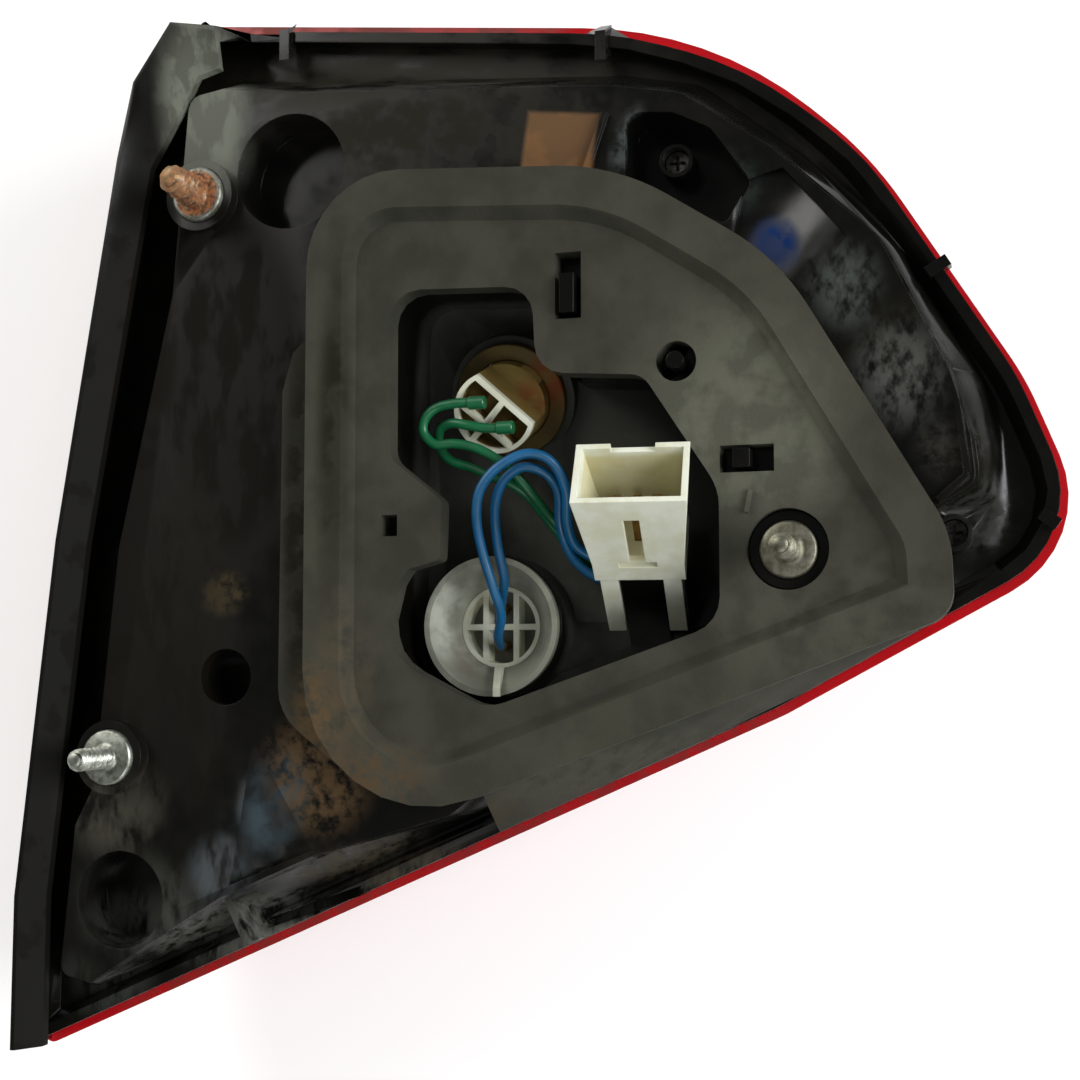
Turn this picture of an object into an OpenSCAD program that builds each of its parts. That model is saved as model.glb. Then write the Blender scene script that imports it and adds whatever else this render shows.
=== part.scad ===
// Tail light cluster, modelled from its mounting side, in millimetres.
// X points right and Z up as seen from behind the lamp, and Y points into the lamp, towards the lens.
// The origin is on the axis of the stud in the seal, on the mounting face of its collar.

/* [Housing] */
// Wall thickness of the moulded housing
shell_t = 2.5; // [2:0.1:3]
// Distance of the housing's face behind the mounting plane
panel_y = 5; // [4:0.5:7]
// Depth of the channel that runs round the face
channel_d = 18; // [15:1:21]
// Height of the left wall above the face
wall_rise = 7; // [5:0.5:9]
// Width of the chamfered strip along the left wall
strip_w = 6; // [4:0.5:7]
// Width of the lip round the rim
lip_w = 3; // [2:0.5:4]
// Height of the lip above the channel
lip_h = 5; // [3:0.5:7]
// Width that the lip's inner wall slopes over
lip_slope = 2.5; // [1:0.5:3]
// Thickness of the rim that carries the lens
rim_t = 4; // [3.5:0.5:6]
// Depth of the service bay below the face
bay_d = 29; // [27:1:31]
// Depth of the round and angular pockets in the face
pocket_d = 14; // [11:1:15]
// Diameter of the upper left pocket
pocket_1_d = 32; // [26:1:34]
// Diameter of the lower left pocket
pocket_2_d = 26; // [20:1:28]
// Diameter of the small pocket at the left
pocket_3_d = 15; // [10:1:18]

/* [Studs] */
// Thread diameter of the mounting studs
stud_d = 6; // [5:1:8]
// Length of the thread in front of the collar
stud_len = 13; // [10:1:18]
// Length of the plain point at the stud's tip
stud_point = 2; // [1:0.5:3]
// Collar diameter of the two studs at the left
collar_d = 15; // [13:0.5:16]
// Collar diameter of the stud in the seal
collar_seal_d = 14; // [12:0.5:15]
// Collar thickness
collar_t = 3; // [2:0.5:3.5]

/* [Seal] */
// Height of the raised ring in front of the mounting plane
ring_rise = 4; // [2:0.5:6]
// Height of the seal's middle in front of the mounting plane
web_rise = 1; // [0.5:0.5:1.5]
// Thickness of the seal's border sheet
sheet_t = 3; // [2:0.5:3.5]
// Width of the raised ring
ring_w = 10; // [7:0.5:11]
// Clearance of the seal round the stud's collar
seal_gap = 2.8; // [2:0.2:4]
// Thickness of the side band that droops over the rim
band_t = 2.5; // [1.5:0.5:3.5]

/* [Lens] */
// Width of the lens edge that stands past the housing
lens_overhang = 2.2; // [1.5:0.1:3]
// Wall thickness of the lens
lens_t = 2.5; // [2:0.1:3]
// Height of the lens in front of the rim
dome_h = 53; // [50:1:60]
// Width of the glue groove in the rim
groove_w = 4; // [3:0.5:5]
// Depth of the glue groove in the rim
groove_d = 2.2; // [1.5:0.1:2.5]
// Thickness of the tongue on the lens
tongue_t = 1.4; // [1:0.1:1.6]

/* [Bulb holders] */
// Outer diameter of the bulb holders
holder_d = 22; // [20:0.5:23]
// Wall thickness of the bulb holders
holder_t = 1.2; // [1:0.1:1.6]
// Diameter of the dished lower seal
seal_low_d = 37; // [34:0.5:38]
// Depth of the dish in the lower seal
dish_d = 9.5; // [7:0.5:11]
// Diameter of the upper seal disc
seal_up_d = 31; // [28:0.5:32]
// Distance that the upper holder stands in front of its seal
holder_up_rise = 15; // [12:0.5:16]
// Tilt of the upper holder
holder_tilt = 22; // [16:1:24]
// Diameter of the bulbs
bulb_d = 18; // [15:0.5:19]
// Length of the bulbs in front of their holders
bulb_len = 24; // [18:1:26]

/* [Plug socket] */
// Width of the plug socket at its mouth
hood_w = 28; // [26:0.5:30]
// Height of the plug socket at its mouth
hood_h = 19; // [17:0.5:20]
// Depth of the plug socket
hood_d = 24; // [20:1:25]
// Wall thickness of the plug socket
hood_t = 1.6; // [1.2:0.1:2]
// Width of the plug socket at its foot
foot_w = 23; // [22:0.5:25]
// Angle of the plug socket above the mounting direction
hood_tilt = 34.5; // [30:0.5:38]
// Turn of the plug socket about the upright
hood_turn = 6; // [3:0.5:8]
// Width of the rail that the plug socket sits on
rail_w = 11; // [9:0.5:12]
// Width of each leg beside the rail
leg_w = 4.6; // [3:0.2:5]
// Width of a contact blade
blade_w = 2; // [1.4:0.1:2.2]

/* [Leads] */
// Outer diameter of the leads
lead_d = 2; // [1.6:0.1:2.2]
// Clearance of a lead in its sleeve
lead_gap = 0.15; // [0.1:0.05:0.3]

/* [Reflector] */
// Wall thickness of the reflector
reflector_t = 2; // [1.5:0.1:2.5]
// Mouth diameter of a reflector bowl
bowl_d = 58; // [50:1:60]
// Depth of a reflector bowl
bowl_depth = 10; // [8:0.5:10]
// Head diameter of the reflector screws
screw_head_d = 6.2; // [5.5:0.1:6.6]
// Thread diameter of the reflector screws
screw_d = 3; // [2.5:0.1:3.5]
// Length of the reflector screws under the head
screw_len = 18; // [12:1:20]

/* [Hidden] */
$fn = 48;

// A gap between pieces that seat on each other without being joined
seat_gap = 0.1;
// A cutter reaches this far past the face that it opens
past = 1;
// Smallest corner radius
tiny = 0.3;
// Flat steps on each corner of a large outline, of a lofted outline and of a small outline
fine_steps = 8;
loft_steps = 3;
few_steps = 4;

// Depths of the main planes along Y
wall_y = panel_y - wall_rise;
channel_y = panel_y + channel_d;
lip_y = channel_y - lip_h;
seat_y = channel_y + rim_t;
bay_y = panel_y + bay_d;
pocket_y = panel_y + pocket_d;
panel_back_y = panel_y + shell_t;

// Outline of the lens seen from behind: corners as x, z, radius, counter-clockwise from lower left
lens_corners = [[-219, -137, 3], [-4.6, -40, 60], [71.6, 1.8, 27], [55.6, 43.3, 80],
    [19.1, 103.6, 110], [-21.9, 142.5, 110], [-170.5, 161.6, 4], [-185, 137, 6],
    [-189.5, 113, 10], [-207.3, 7, 30], [-218.5, -90, 20]];

// Outer edge of the left wall, from the lower tip over the upper left corner, as x and z
wall_corners = [[-209.7, -130.5], [-209.8, -90], [-200, 7], [-183.7, 113], [-179.2, 134.5],
    [-168, 150.4], [-154, 147.6]];
// The chamfered strip widens to a gusset at the upper left corner, as shares of its width
strip_shares = [1, 1, 1, 1.2, 2.3, 2.1, 1.6];
// Thickness of the wall's bare top edge
wall_edge_t = 1.2;
// Drop of the strip towards the lamp's middle
strip_drop = 6;

// Edge of the housing's face, and the foot of its sloping sides in the channel
face_corners = [[-199.5, -111, 3], [-190, -113, 2], [-165, -97, 4], [-152, -89, 4],
    [-125, -77, 6], [-87, -65.5, 4], [-78, -58.5, 3], [1, -25, 10], [22, -15, 4],
    [30, -10.5, 3], [32.5, 9, 3], [43.5, 15, 4], [42.5, 26, 6], [38, 42, 15], [22, 76, 20],
    [-4, 101, 15], [-26, 117, 10],
    [-45, 121, 15], [-131, 128.5, 5], [-155, 132.5, 4], [-165.5, 131, 4], [-169.5, 75, 10],
    [-184.5, 5, 20], [-190.5, -60, 6], [-196, -71, 3]];
foot_corners = [[-203.5, -119, 3], [-198, -117.5, 2], [-172, -106, 4], [-156, -99, 4],
    [-129, -86.9, 6], [-84, -66.6, 4], [-76, -63, 3], [3, -27.3, 10], [24.5, -16.5, 4],
    [33, -12, 3], [35, 5.5, 3], [48.5, 12.5, 4], [49.5, 26, 6], [46.5, 42, 15], [28, 76, 20],
    [3, 104, 15], [-24, 126, 10],
    [-45, 131, 15], [-131, 139, 5], [-157, 142, 4], [-170, 139, 4], [-174, 75, 10],
    [-189, 5, 20], [-195, -60, 6], [-201, -71, 3]];

// Service bay that holds the bulb holders and the plug socket
bay_corners = [[-104, -28, 10], [-76, -42.5, 10], [-13, -20.5, 8], [-13, 15, 10],
    [-33, 46, 8], [-60, 48, 4], [-61, 71, 6], [-104, 73, 8]];

// Angular pocket round the upper reflector screw
pocket_upper_corners = [[-40.5, 93, 3], [-15, 82, 2], [-8.5, 92.5, 3], [-18.5, 107, 5],
    [-28, 112, 5], [-40.5, 113.5, 4]];
// Round pockets as x and z
pocket_1_at = [-134.2, 107];
pocket_2_at = [-181.5, -90.5];
pocket_3_at = [-151, -30.5];

// Studs and their bosses, as x and z
stud_upper_at = [-160, 101.6];
stud_lower_at = [-184, -52.2];
stud_seal_at = [0, 0];
boss_wall = 2.5;
boss_lip = 1.5;
boss_depth = 9;
stud_root = 7;
point_share = 0.65;

// Screw posts in the angular pockets, as x and z
screw_upper_at = [-28.5, 101.5];
screw_right_at = [38, 4];
screw_post_y = pocket_y - 8;
screw_post_wall = 1.2;
screw_head_h = 2.4;
screw_seat_y = pocket_y - 3;

// Outline of the seal's raised ring, and of its opening
ring_corners = [[-124, -78, 34], [38, -16, 8], [37.5, 3, 24], [-1, 70, 60], [-41, 96.8, 60],
    [-124.8, 103, 24]];
opening_corners = [[-102, -25, 14], [-75.5, -38.5, 12], [-16.3, -17.5, 9], [-16.3, 15, 14],
    [-35, 44, 6], [-62.5, 46, 8], [-63.5, 68.3, 8], [-102.2, 70, 8], [-102, 26, 6],
    [-87.5, 14.5, 3], [-88, -1, 1.5], [-101.2, -2.2, 4]];
// The border sheet shows left of the ring
sheet_corners = [[-134, -40, 14], [-100, -66, 8], [-100, 60, 8], [-134, 84, 20]];
// Slots in the seal, as lowest and highest x and z
slot_upright = [[-57.4, 59.3], [-50.6, 76.3]];
slot_level = [[-16, 18.8], [-2.9, 25.4]];
slot_pin_at = [-26.5, 46.8];
slot_pin_r = 5;
// Locating tabs of the housing that stand in those slots, as lowest and highest x and z
tab_upright = [[-55.8, 60.5], [-52, 70.5]];
tab_level = [[-12.6, 19.8], [-8.4, 24.4]];
tab_rise = 2;
pin_r = 2.2;

// A box round the whole lamp, as lowest and highest x and z
lamp_box = [[-230, -150], [80, 170]];
// Ribs on the face, each from one point to the other
face_ribs = [[[-45.5, 113.5], [-51, 98]], [[39.5, 34], [41.5, 17]], [[41.5, 17], [34.5, 11]]];
face_rib_w = 1.6;
face_rib_h = 1.5;
// Hollow facets in the face: sunk all over, and sunk along one side
facet_corners = [[-9.9, 92.6], [-13.1, 78.8], [4.8, 63.5], [14.7, 76.5], [-0.6, 95]];
wedge_corners = [[-142.8, -47.2], [-149.2, -85.6], [-125, -75.4]];
facet_d = 1.6;
// Clip ribs over the rim's lip, each from inside the rim to past it
clip_ribs = [[[-141.7, 146.5], [-141.7, 158]], [[-49, 135.5], [-49, 145.5]], [[33, 68.8], [41, 73.6]],
    [[58, 8.5], [65.5, 3.2]]];
clip_w = 3;
clip_t = 2;
// Bracket from the face's lower corner to the rim, and the slot beside it in the channel's floor
bracket = [[-152, -88], [-145, -101]];
bracket_w = 1.6;
bracket_top = 3;
slot_corners = [[-146, -96.5], [-144, -98.5], [-116, -88.3], [-115.6, -85.5]];
slot_sunk = 1.2;
// Notch in the seal's middle, and the small ridge by its level slot
seal_notch = [[-104, 5.6], [-99.6, 11.1]];
seal_ridge = [[-8.5, 14.5], [-9.6, 9]];
seal_ridge_w = 1;
// The upper holder's open side starts past its rib, and is this deep
open_side_d = 11;

// Bulb holders, as x, y and z of the lower dish's rim and of the upper seal's face
seat_low = [-80.7, 18, -17.1];
seat_up = [-78.2, 27, 44.4];
dish_rim = 2.2;
seal_t = 3;
cell_d = 6;
cell_floor = 3;
rib_t = 1.6;
rib_half = 4.3;
lug_r = 14;
lug_w = 5;
lug_t = 2;
bulb_base_w = 12;
bulb_base_t = 4;
bulb_base_h = 6;

// Plug socket: middle of its mouth, and the depths of its parts below the mouth
hood_at = [-36, -10.3, 18.6];
foot_h = 6;
leg_end = 52;
leg_v = [3.5, 9.2];
rail_v = [3, 8];
rail_end = 62;
key_w = 1.8;
key_d = 1.8;
slot_w = 3.9;
bar_w = 9.5;
pin_pitch = 5;
pin_rise = 9;
seal_block = [17, 8, 4];

// Routes of the four leads, held at both ends by the object
green_a = [[-80.8, 9.5, 41.1], [-84, 9.5, 41.2], [-88, 9.5, 41.2], [-93, 9.5, 40.3],
    [-96, 9.5, 37.7], [-96.7, 10, 34], [-93.7, 10.5, 30.8], [-88.5, 11, 30.8],
    [-82.5, 11.5, 29.4], [-77, 12.5, 26.3], [-73, 14, 23], [-69, 18, 17.2],
    [-65.5, 24, 11.5], [-60, 28, 4.5], [-53.5, 30, -1], [-46, 30.8, -3.5],
    [-40.8, 29.8, -3], [-39, 27, -0.7], [-38.5, 23.3, 2.3], [-38.2, 20, 4.6]];
green_b = [[-73.7, 12.1, 34.6], [-77, 12.1, 34.6], [-81, 11.7, 34.8], [-85, 11.2, 35.6],
    [-89.5, 11.8, 36.4], [-93.2, 13.5, 35.2], [-94.3, 15.5, 31.5], [-91.5, 15.8, 27.3],
    [-85, 15.8, 24.8], [-79.5, 15.8, 22.2], [-74, 17, 20], [-70, 20.2, 16.5],
    [-66.8, 26, 11], [-61, 30, 3], [-55, 31.8, -4], [-47, 32.3, -7],
    [-41.5, 30, -6.8], [-39, 26, -4.3], [-38.3, 21.3, -0.7], [-38, 18, 1.6]];
blue_a = [[-80.7, 30, -22.1], [-80.7, 27, -22.1], [-80, 23, -19.5], [-77.8, 18.5, -14],
    [-78.6, 14.5, -7.5], [-80.2, 11, 0.9], [-81, 8, 9], [-80.3, 6.7, 16],
    [-77.7, 6.5, 20.8], [-73.5, 7, 24.5], [-68.5, 8.3, 26.8], [-64, 10, 26.4],
    [-60.8, 12, 23.5], [-59, 15, 17.5], [-59.8, 19, 10], [-58.5, 22.6, 4],
    [-54, 25.5, 0.8], [-49, 26.8, -0.6], [-46, 26.1, -0.1], [-45, 22.6, 2.3],
    [-44.6, 19.3, 4.6]];
blue_b = [[-80.7, 30, -12.1], [-80.7, 27, -12.1], [-79, 23, -10], [-77, 18.5, -4.5],
    [-77.5, 14.5, 4], [-77.2, 11.5, 13.2], [-75, 10.5, 19.8], [-70.4, 11, 23.6],
    [-66, 13, 23.3], [-63, 15, 21], [-61.8, 18, 17], [-62.6, 22, 9.5],
    [-60.5, 25, 2], [-56, 26.3, -3], [-50.5, 26.5, -5.2], [-46.8, 25.4, -4.3],
    [-45, 22.6, -2.1], [-44.8, 20.6, -0.7], [-44.4, 17.3, 1.6]];

// Leads enter the rear block at these places across it and along its height
rear_holes = [[-5.5, 2], [-5.5, 5.6], [1, 2], [1, 5.6]];

// Lens: middle, and the outline's share at each share of the dome's height
dome_middle = [-85, 25];
dome_shares = [[0.03, 0.972], [0.24, 0.965], [0.48, 0.94], [0.67, 0.88], [0.82, 0.76],
    [0.93, 0.56], [0.985, 0.3]];
dome_inner_step = 0.022;
window_corners = [[-134, 24, 8], [-42, 22, 8], [-52, 78, 8], [-127, 84, 8]];
reflector_inset = 16;
reflector_y = seat_y + 23;
bowl_neck_r = 12.5;
bowl_up_at = [-78.2, 49.5];
bowl_steps = 6;
bowl_part = 0.35;
post_r = 4;

// Unit vector
function unit(v) = v / norm(v);
// Entry of a ring, counted round and round
function at(ring, i) = ring[(i + len(ring)) % len(ring)];
// Place of a corner without its radius
function place(c) = [c[0], c[1]];
// Direction turned a quarter to the left
function left(v) = [-v[1], v[0]];
// Point moved by d along the mitre between two directions
function mitre(p, u, v, d) = p + d * (left(u) + left(v)) / (1 + left(u) * left(v));

// Corners moved inwards by d along their sides, with radii that follow
function inset(c, d) = [for (i = [0 : len(c) - 1])
    let (p = place(c[i]), u = unit(p - place(at(c, i - 1))), v = unit(place(at(c, i + 1)) - p),
        q = mitre(p, u, v, d))
    [q[0], q[1], max(c[i][2] - sign(cross(u, v)) * d, tiny)]];

// Arc of radius r at corner b between its neighbours a and e, in n steps
function fillet(a, b, e, r, n) =
    let (u = unit(a - b), v = unit(e - b), half = acos(u * v) / 2,
        p = b + u * r / tan(half), o = b + unit(u + v) * r / sin(half),
        side = sign(cross(b - a, e - b)), s = p - o)
    [for (k = [0 : n]) let (w = side * (180 - 2 * half) * k / n)
        o + [s[0] * cos(w) - s[1] * sin(w), s[0] * sin(w) + s[1] * cos(w)]];

// Outline of a corner list, each corner rounded in n steps
function outline(c, n) = [for (i = [0 : len(c) - 1])
    each fillet(place(at(c, i - 1)), place(c[i]), place(at(c, i + 1)), c[i][2], n)];

// Outline placed at depth y
function at_depth(points, y) = [for (p = points) [p[0], y, p[1]]];
// Middle of a list of points
function middle(points) = [for (k = [0 : 2]) let (v = [for (p = points) p[k]]) sum(v) / len(v)];
function sum(v, i = 0) = i < len(v) ? v[i] + sum(v, i + 1) : 0;

// Closed skin over sections of equal counts, each counter-clockwise as seen from the start
module skin(sections, hub_start, hub_end) {
    n = len(sections[0]);
    last = (len(sections) - 1) * n;
    hubs = len(sections) * n;
    sides = [for (k = [0 : len(sections) - 2], i = [0 : n - 1], half = [0, 1])
        let (a = k * n + i, b = k * n + (i + 1) % n)
        half == 0 ? [a, b, b + n] : [a, b + n, a + n]];
    start = [for (i = [0 : n - 1]) [hubs, (i + 1) % n, i]];
    end = [for (i = [0 : n - 1]) [hubs + 1, last + i, last + (i + 1) % n]];
    polyhedron(points = concat([for (s = sections) each s], [hub_start, hub_end]),
        faces = concat(sides, start, end));
}

// Straight-sided plate of an outline between two depths
module plate(points, y0, y1) {
    translate([0, y1, 0]) rotate([90, 0, 0]) linear_extrude(height = y1 - y0) polygon(points);
}

// Round rod along Y between two depths
module rod(at, r, y0, y1) {
    translate([at[0], y1, at[1]]) rotate([90, 0, 0]) cylinder(r = r, h = y1 - y0);
}

// Box between two depths, from the lowest and highest x and z
module block(box, y0, y1) {
    translate([box[0][0], y0, box[0][1]])
        cube([box[1][0] - box[0][0], y1 - y0, box[1][1] - box[0][1]]);
}

// Solid of revolution about Y at a place, from a profile of radius and depth
module turned(at, profile) {
    translate([at[0], 0, at[1]]) rotate([-90, 0, 0]) rotate_extrude() polygon(profile);
}

rim_corners = inset(lens_corners, lens_overhang);

// Rim and lip of the housing, the lip's inner wall sloping to the channel
module rim() {
    plate(outline(rim_corners, fine_steps), channel_y, seat_y);
    difference() {
        plate(outline(rim_corners, fine_steps), lip_y, channel_y + past);
        lip_space();
    }
}
module lip_space() {
    mouth = at_depth(outline(inset(rim_corners, lip_w - lip_slope / lip_h), few_steps), lip_y - past);
    foot = at_depth(outline(inset(rim_corners, lip_w + lip_slope), few_steps), channel_y);
    low = at_depth(outline(inset(rim_corners, lip_w + lip_slope), few_steps), channel_y + 2 * past);
    skin([mouth, foot, low], [dome_middle[0], lip_y - past, dome_middle[1]],
        [dome_middle[0], channel_y + 2 * past, dome_middle[1]]);
}

// Glue groove in the front of the rim, from its outer edge
groove_in = 3.5;
module rim_ring(from, to, y0, y1) {
    difference() {
        plate(outline(inset(rim_corners, from), fine_steps), y0, y1);
        plate(outline(inset(rim_corners, to), fine_steps), y0 - past, y1 + past);
    }
}

// Sloping tub of the housing, moved inwards by d
module tub(d, y0, y1) {
    top = at_depth(outline(inset(face_corners, d), loft_steps), y0);
    foot = at_depth(outline(inset(foot_corners, d), loft_steps), y1);
    skin([top, foot], [dome_middle[0], y0, dome_middle[1]], [dome_middle[0], y1, dome_middle[1]]);
}

// Directions along the left wall
wall_steps = [for (i = [0 : len(wall_corners) - 2]) unit(wall_corners[i + 1] - wall_corners[i])];
// Foot of the left wall on the rim, corner by corner
wall_foot = concat([for (i = [0, 10, 9, 8, 7, 6]) place(rim_corners[i])], [[-154, 157]]);

// Cross-section of the left wall at one corner, from its inner bend
function wall_section(i) =
    let (top = wall_corners[i], n = right_way(i), w = strip_w * strip_shares[i],
        slope = strip_drop / (w - wall_edge_t), bend = shell_t + wall_edge_t / 2,
        bend_y = wall_y + slope * (bend - wall_edge_t) + shell_t)
    [point(top + n * bend, bend_y), point(top + n * w, wall_y + strip_drop + shell_t),
        point(top + n * w, wall_y + strip_drop), point(top + n * wall_edge_t, wall_y),
        point(top, wall_y), point(wall_foot[i], channel_y + past),
        point(wall_foot[i] + n * shell_t, channel_y + past)];
function right_way(i) = let (u = wall_steps[max(i - 1, 0)],
    v = wall_steps[min(i, len(wall_steps) - 1)]) -mitre([0, 0], u, v, 1);
function point(p, y) = [p[0], y, p[1]];

module left_wall() {
    sections = [for (i = [0 : len(wall_corners) - 1]) wall_section(i)];
    skin(sections, sections[0][0], sections[len(sections) - 1][0]);
}

// Hollow in the face: its walls and floor, and the space that it clears
module cup(corners, floor_y) {
    difference() {
        plate(outline(inset(corners, -shell_t), few_steps), panel_back_y, floor_y + shell_t);
        plate(outline(corners, few_steps), panel_y - past, floor_y);
    }
}
module cup_space(corners) {
    plate(outline(corners, few_steps), panel_y - past, panel_back_y + past);
}
module round_cup(at, d) {
    difference() {
        rod(at, d / 2 + shell_t, panel_back_y, pocket_y + shell_t);
        rod(at, d / 2, panel_y - past, pocket_y);
    }
}

// Boss that a stud's collar seats in
module boss(at, d) {
    difference() {
        rod(at, d / 2 + boss_wall, collar_t - boss_lip, collar_t + boss_depth);
        rod(at, d / 2 + 2 * seat_gap, collar_t - boss_lip - past, collar_t);
        rod(at, stud_d / 2 + seat_gap, 0, collar_t + stud_root + seat_gap);
    }
}
module boss_space(at, d) {
    rod(at, d / 2 + boss_wall / 2, collar_t - boss_lip - past, panel_back_y + past);
}

// Bar of width w on the line from a to b
module bar(a, b, w, y0, y1) {
    n = left(unit(b - a)) * w / 2;
    plate([a + n, a - n, b - n, b + n], y0, y1);
}

// Post that a reflector screw sits in, up from a floor
module screw_post(at, floor_y) {
    difference() {
        rod(at, screw_head_d / 2 + seat_gap + screw_post_wall, screw_post_y, floor_y + shell_t);
        rod(at, screw_head_d / 2 + 2 * seat_gap, screw_post_y - past, screw_seat_y);
        rod(at, screw_d / 2 + seat_gap, screw_seat_y - past, floor_y + shell_t + past);
    }
}
module screw_hole(at) {
    rod(at, screw_d / 2 + seat_gap, pocket_y - past, seat_y + past);
}

// Places a shape in the lower or the upper holder's own frame: Y along its axis, from its seal
module at_lower() {
    translate(seat_low) children();
}
module at_upper() {
    translate(seat_up) rotate([holder_tilt, 0, 0]) children();
}
// Places a shape in the plug socket's frame: Z out of its mouth, -Y towards the viewer
module at_hood() {
    translate(hood_at) rotate([0, 0, hood_turn]) rotate([90 - hood_tilt, 0, 0]) children();
}

// Tubes in the bay that the two holder seals sit on
seat_low_y = seat_low[1] + dish_rim;
tube_low_r = seal_low_d / 2 + 0.6;
tube_t = 2.4;
sleeve_r = seal_up_d / 2 + 2;
floor_hole_gap = 0.8;
lug_gap = 0.6;
module lower_tube() {
    rod([seat_low[0], seat_low[2]], tube_low_r, seat_low_y, bay_y + past);
}
module lower_tube_space() {
    rod([seat_low[0], seat_low[2]], tube_low_r - tube_t, seat_low_y - past, bay_y);
    rod([seat_low[0], seat_low[2]], holder_d / 2 + floor_hole_gap, bay_y - past,
        bay_y + shell_t + past);
    at_lower() rotate([0, lug_turn, 0])
        lugs(lug_r + lug_gap, lug_w + 2 * lug_gap, bay_y - seat_low[1] - past, holder_low_back);
}
module upper_tube() {
    intersection() {
        at_upper() rod([0, 0], sleeve_r, seal_t, 2 * bay_d);
        plate(outline(bay_corners, few_steps), panel_y, bay_y + shell_t);
    }
}
module upper_tube_space() {
    at_upper() {
        rod([0, 0], seal_up_d / 2 + 2 * seat_gap, -2 * dish_d, seal_t);
        rod([0, 0], holder_d / 2 + floor_hole_gap, 0, 2 * bay_d);
        rod([0, 0], lug_r + lug_gap, holder_up_back - lug_t - 2 * seat_gap, 2 * bay_d);
        rotate([0, holder_turn + lug_turn, 0])
            lugs(lug_r + lug_gap, lug_w + 2 * lug_gap, 0, holder_up_back);
    }
}

// Rail that the plug socket's legs straddle
module rail() {
    intersection() {
        at_hood() translate([-rail_w / 2, -rail_v[1], -rail_end])
            cube([rail_w, rail_v[1] - rail_v[0], rail_end - hood_d - foot_h - seat_gap]);
        plate(outline(bay_corners, few_steps), panel_y, bay_y + shell_t);
    }
}

// Slab that the face is cut from, over the sloping sides
module face_slab() {
    intersection() {
        tub(0, panel_y, channel_y + past);
        block(lamp_box, panel_y - past, panel_back_y);
    }
}
// Space inside the sloping sides, under the face
module inside() {
    tub(shell_t, panel_back_y, seat_y + past);
}
// Round of a stud's boss under the face
module boss_round(at, d) {
    rod(at, d / 2 + boss_wall, panel_y, collar_t + boss_depth);
}

// Rim, left wall and sloping sides
module housing() {
    color("#17191b") {
        difference() {
            union() {
                rim();
                left_wall();
                tub(0, panel_y, channel_y + past);
                bar(bracket[0], bracket[1], bracket_w, panel_y + bracket_top, channel_y + past);
            }
            tub(shell_t, panel_back_y, seat_y + past);
            face_slab();
            rim_ring(groove_in, groove_in + groove_w, seat_y - groove_d, seat_y + past);
            screw_hole(screw_right_at);
            boss_round(stud_upper_at, collar_d);
            boss_round(stud_lower_at, collar_d);
            boss_round(stud_seal_at, collar_seal_d);
            plate(slot_corners, lip_y, channel_y + slot_sunk);
        }
        screw_post(screw_right_at, channel_y);
        for (c = clip_ribs) {
            bar(c[0], c[1], clip_w, lip_y - clip_t, lip_y + clip_t);
        }
    }
}

// Face of the housing with its bosses, ribs and locating tabs
module housing_face() {
    color("#17191b") {
        difference() {
            face_slab();
            cup_space(bay_corners);
            cup_space(pocket_upper_corners);
            rod(pocket_1_at, pocket_1_d / 2, 0, panel_back_y + past);
            rod(pocket_2_at, pocket_2_d / 2, 0, panel_back_y + past);
            rod(pocket_3_at, pocket_3_d / 2, 0, panel_back_y + past);
            boss_space(stud_upper_at, collar_d);
            boss_space(stud_lower_at, collar_d);
            boss_space(stud_seal_at, collar_seal_d);
            plate(facet_corners, panel_y - past, panel_y + facet_d);
            wedge();
        }
        boss(stud_upper_at, collar_d);
        boss(stud_lower_at, collar_d);
        boss(stud_seal_at, collar_seal_d);
        for (r = face_ribs) {
            bar(r[0], r[1], face_rib_w, panel_y - face_rib_h, panel_y + face_rib_h);
        }
        block(tab_upright, -web_rise - tab_rise, panel_y + face_rib_h);
        block(tab_level, -web_rise - tab_rise, panel_y + face_rib_h);
        rod(slot_pin_at, pin_r, -web_rise - tab_rise, panel_y + face_rib_h);
    }
}
// Sloping hollow facet: even with the face at its top and right corners, sunk at its left corner
module wedge() {
    w = wedge_corners;
    skin([[point(w[0], panel_y - past), point(w[1], panel_y - past), point(w[2], panel_y - past)],
            [point(w[0], panel_y + tiny), point(w[1], panel_y + facet_d), point(w[2], panel_y + tiny)]],
        point((w[0] + w[1] + w[2]) / len(w), panel_y - past),
        point((w[0] + w[1] + w[2]) / len(w), panel_y + (facet_d + 2 * tiny) / len(w)));
}

// Service bay under the face, with the holders' seats and the plug socket's rail
module housing_bay() {
    color("#17191b") difference() {
        union() {
            cup(bay_corners, bay_y);
            lower_tube();
            upper_tube();
            rail();
        }
        lower_tube_space();
        upper_tube_space();
    }
}
// Pockets under the face
module housing_pocket_upper_left() {
    color("#17191b") difference() {
        intersection() {
            round_cup(pocket_1_at, pocket_1_d);
            inside();
        }
        boss_round(stud_upper_at, collar_d);
    }
}
module housing_pocket_lower_left() {
    color("#17191b") intersection() {
        round_cup(pocket_2_at, pocket_2_d);
        inside();
    }
}
module housing_pocket_middle_left() {
    color("#17191b") round_cup(pocket_3_at, pocket_3_d);
}
module housing_screw_pocket() {
    color("#17191b") {
        intersection() {
            difference() {
                cup(pocket_upper_corners, pocket_y);
                screw_hole(screw_upper_at);
            }
            inside();
        }
        screw_post(screw_upper_at, pocket_y);
    }
}

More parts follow.
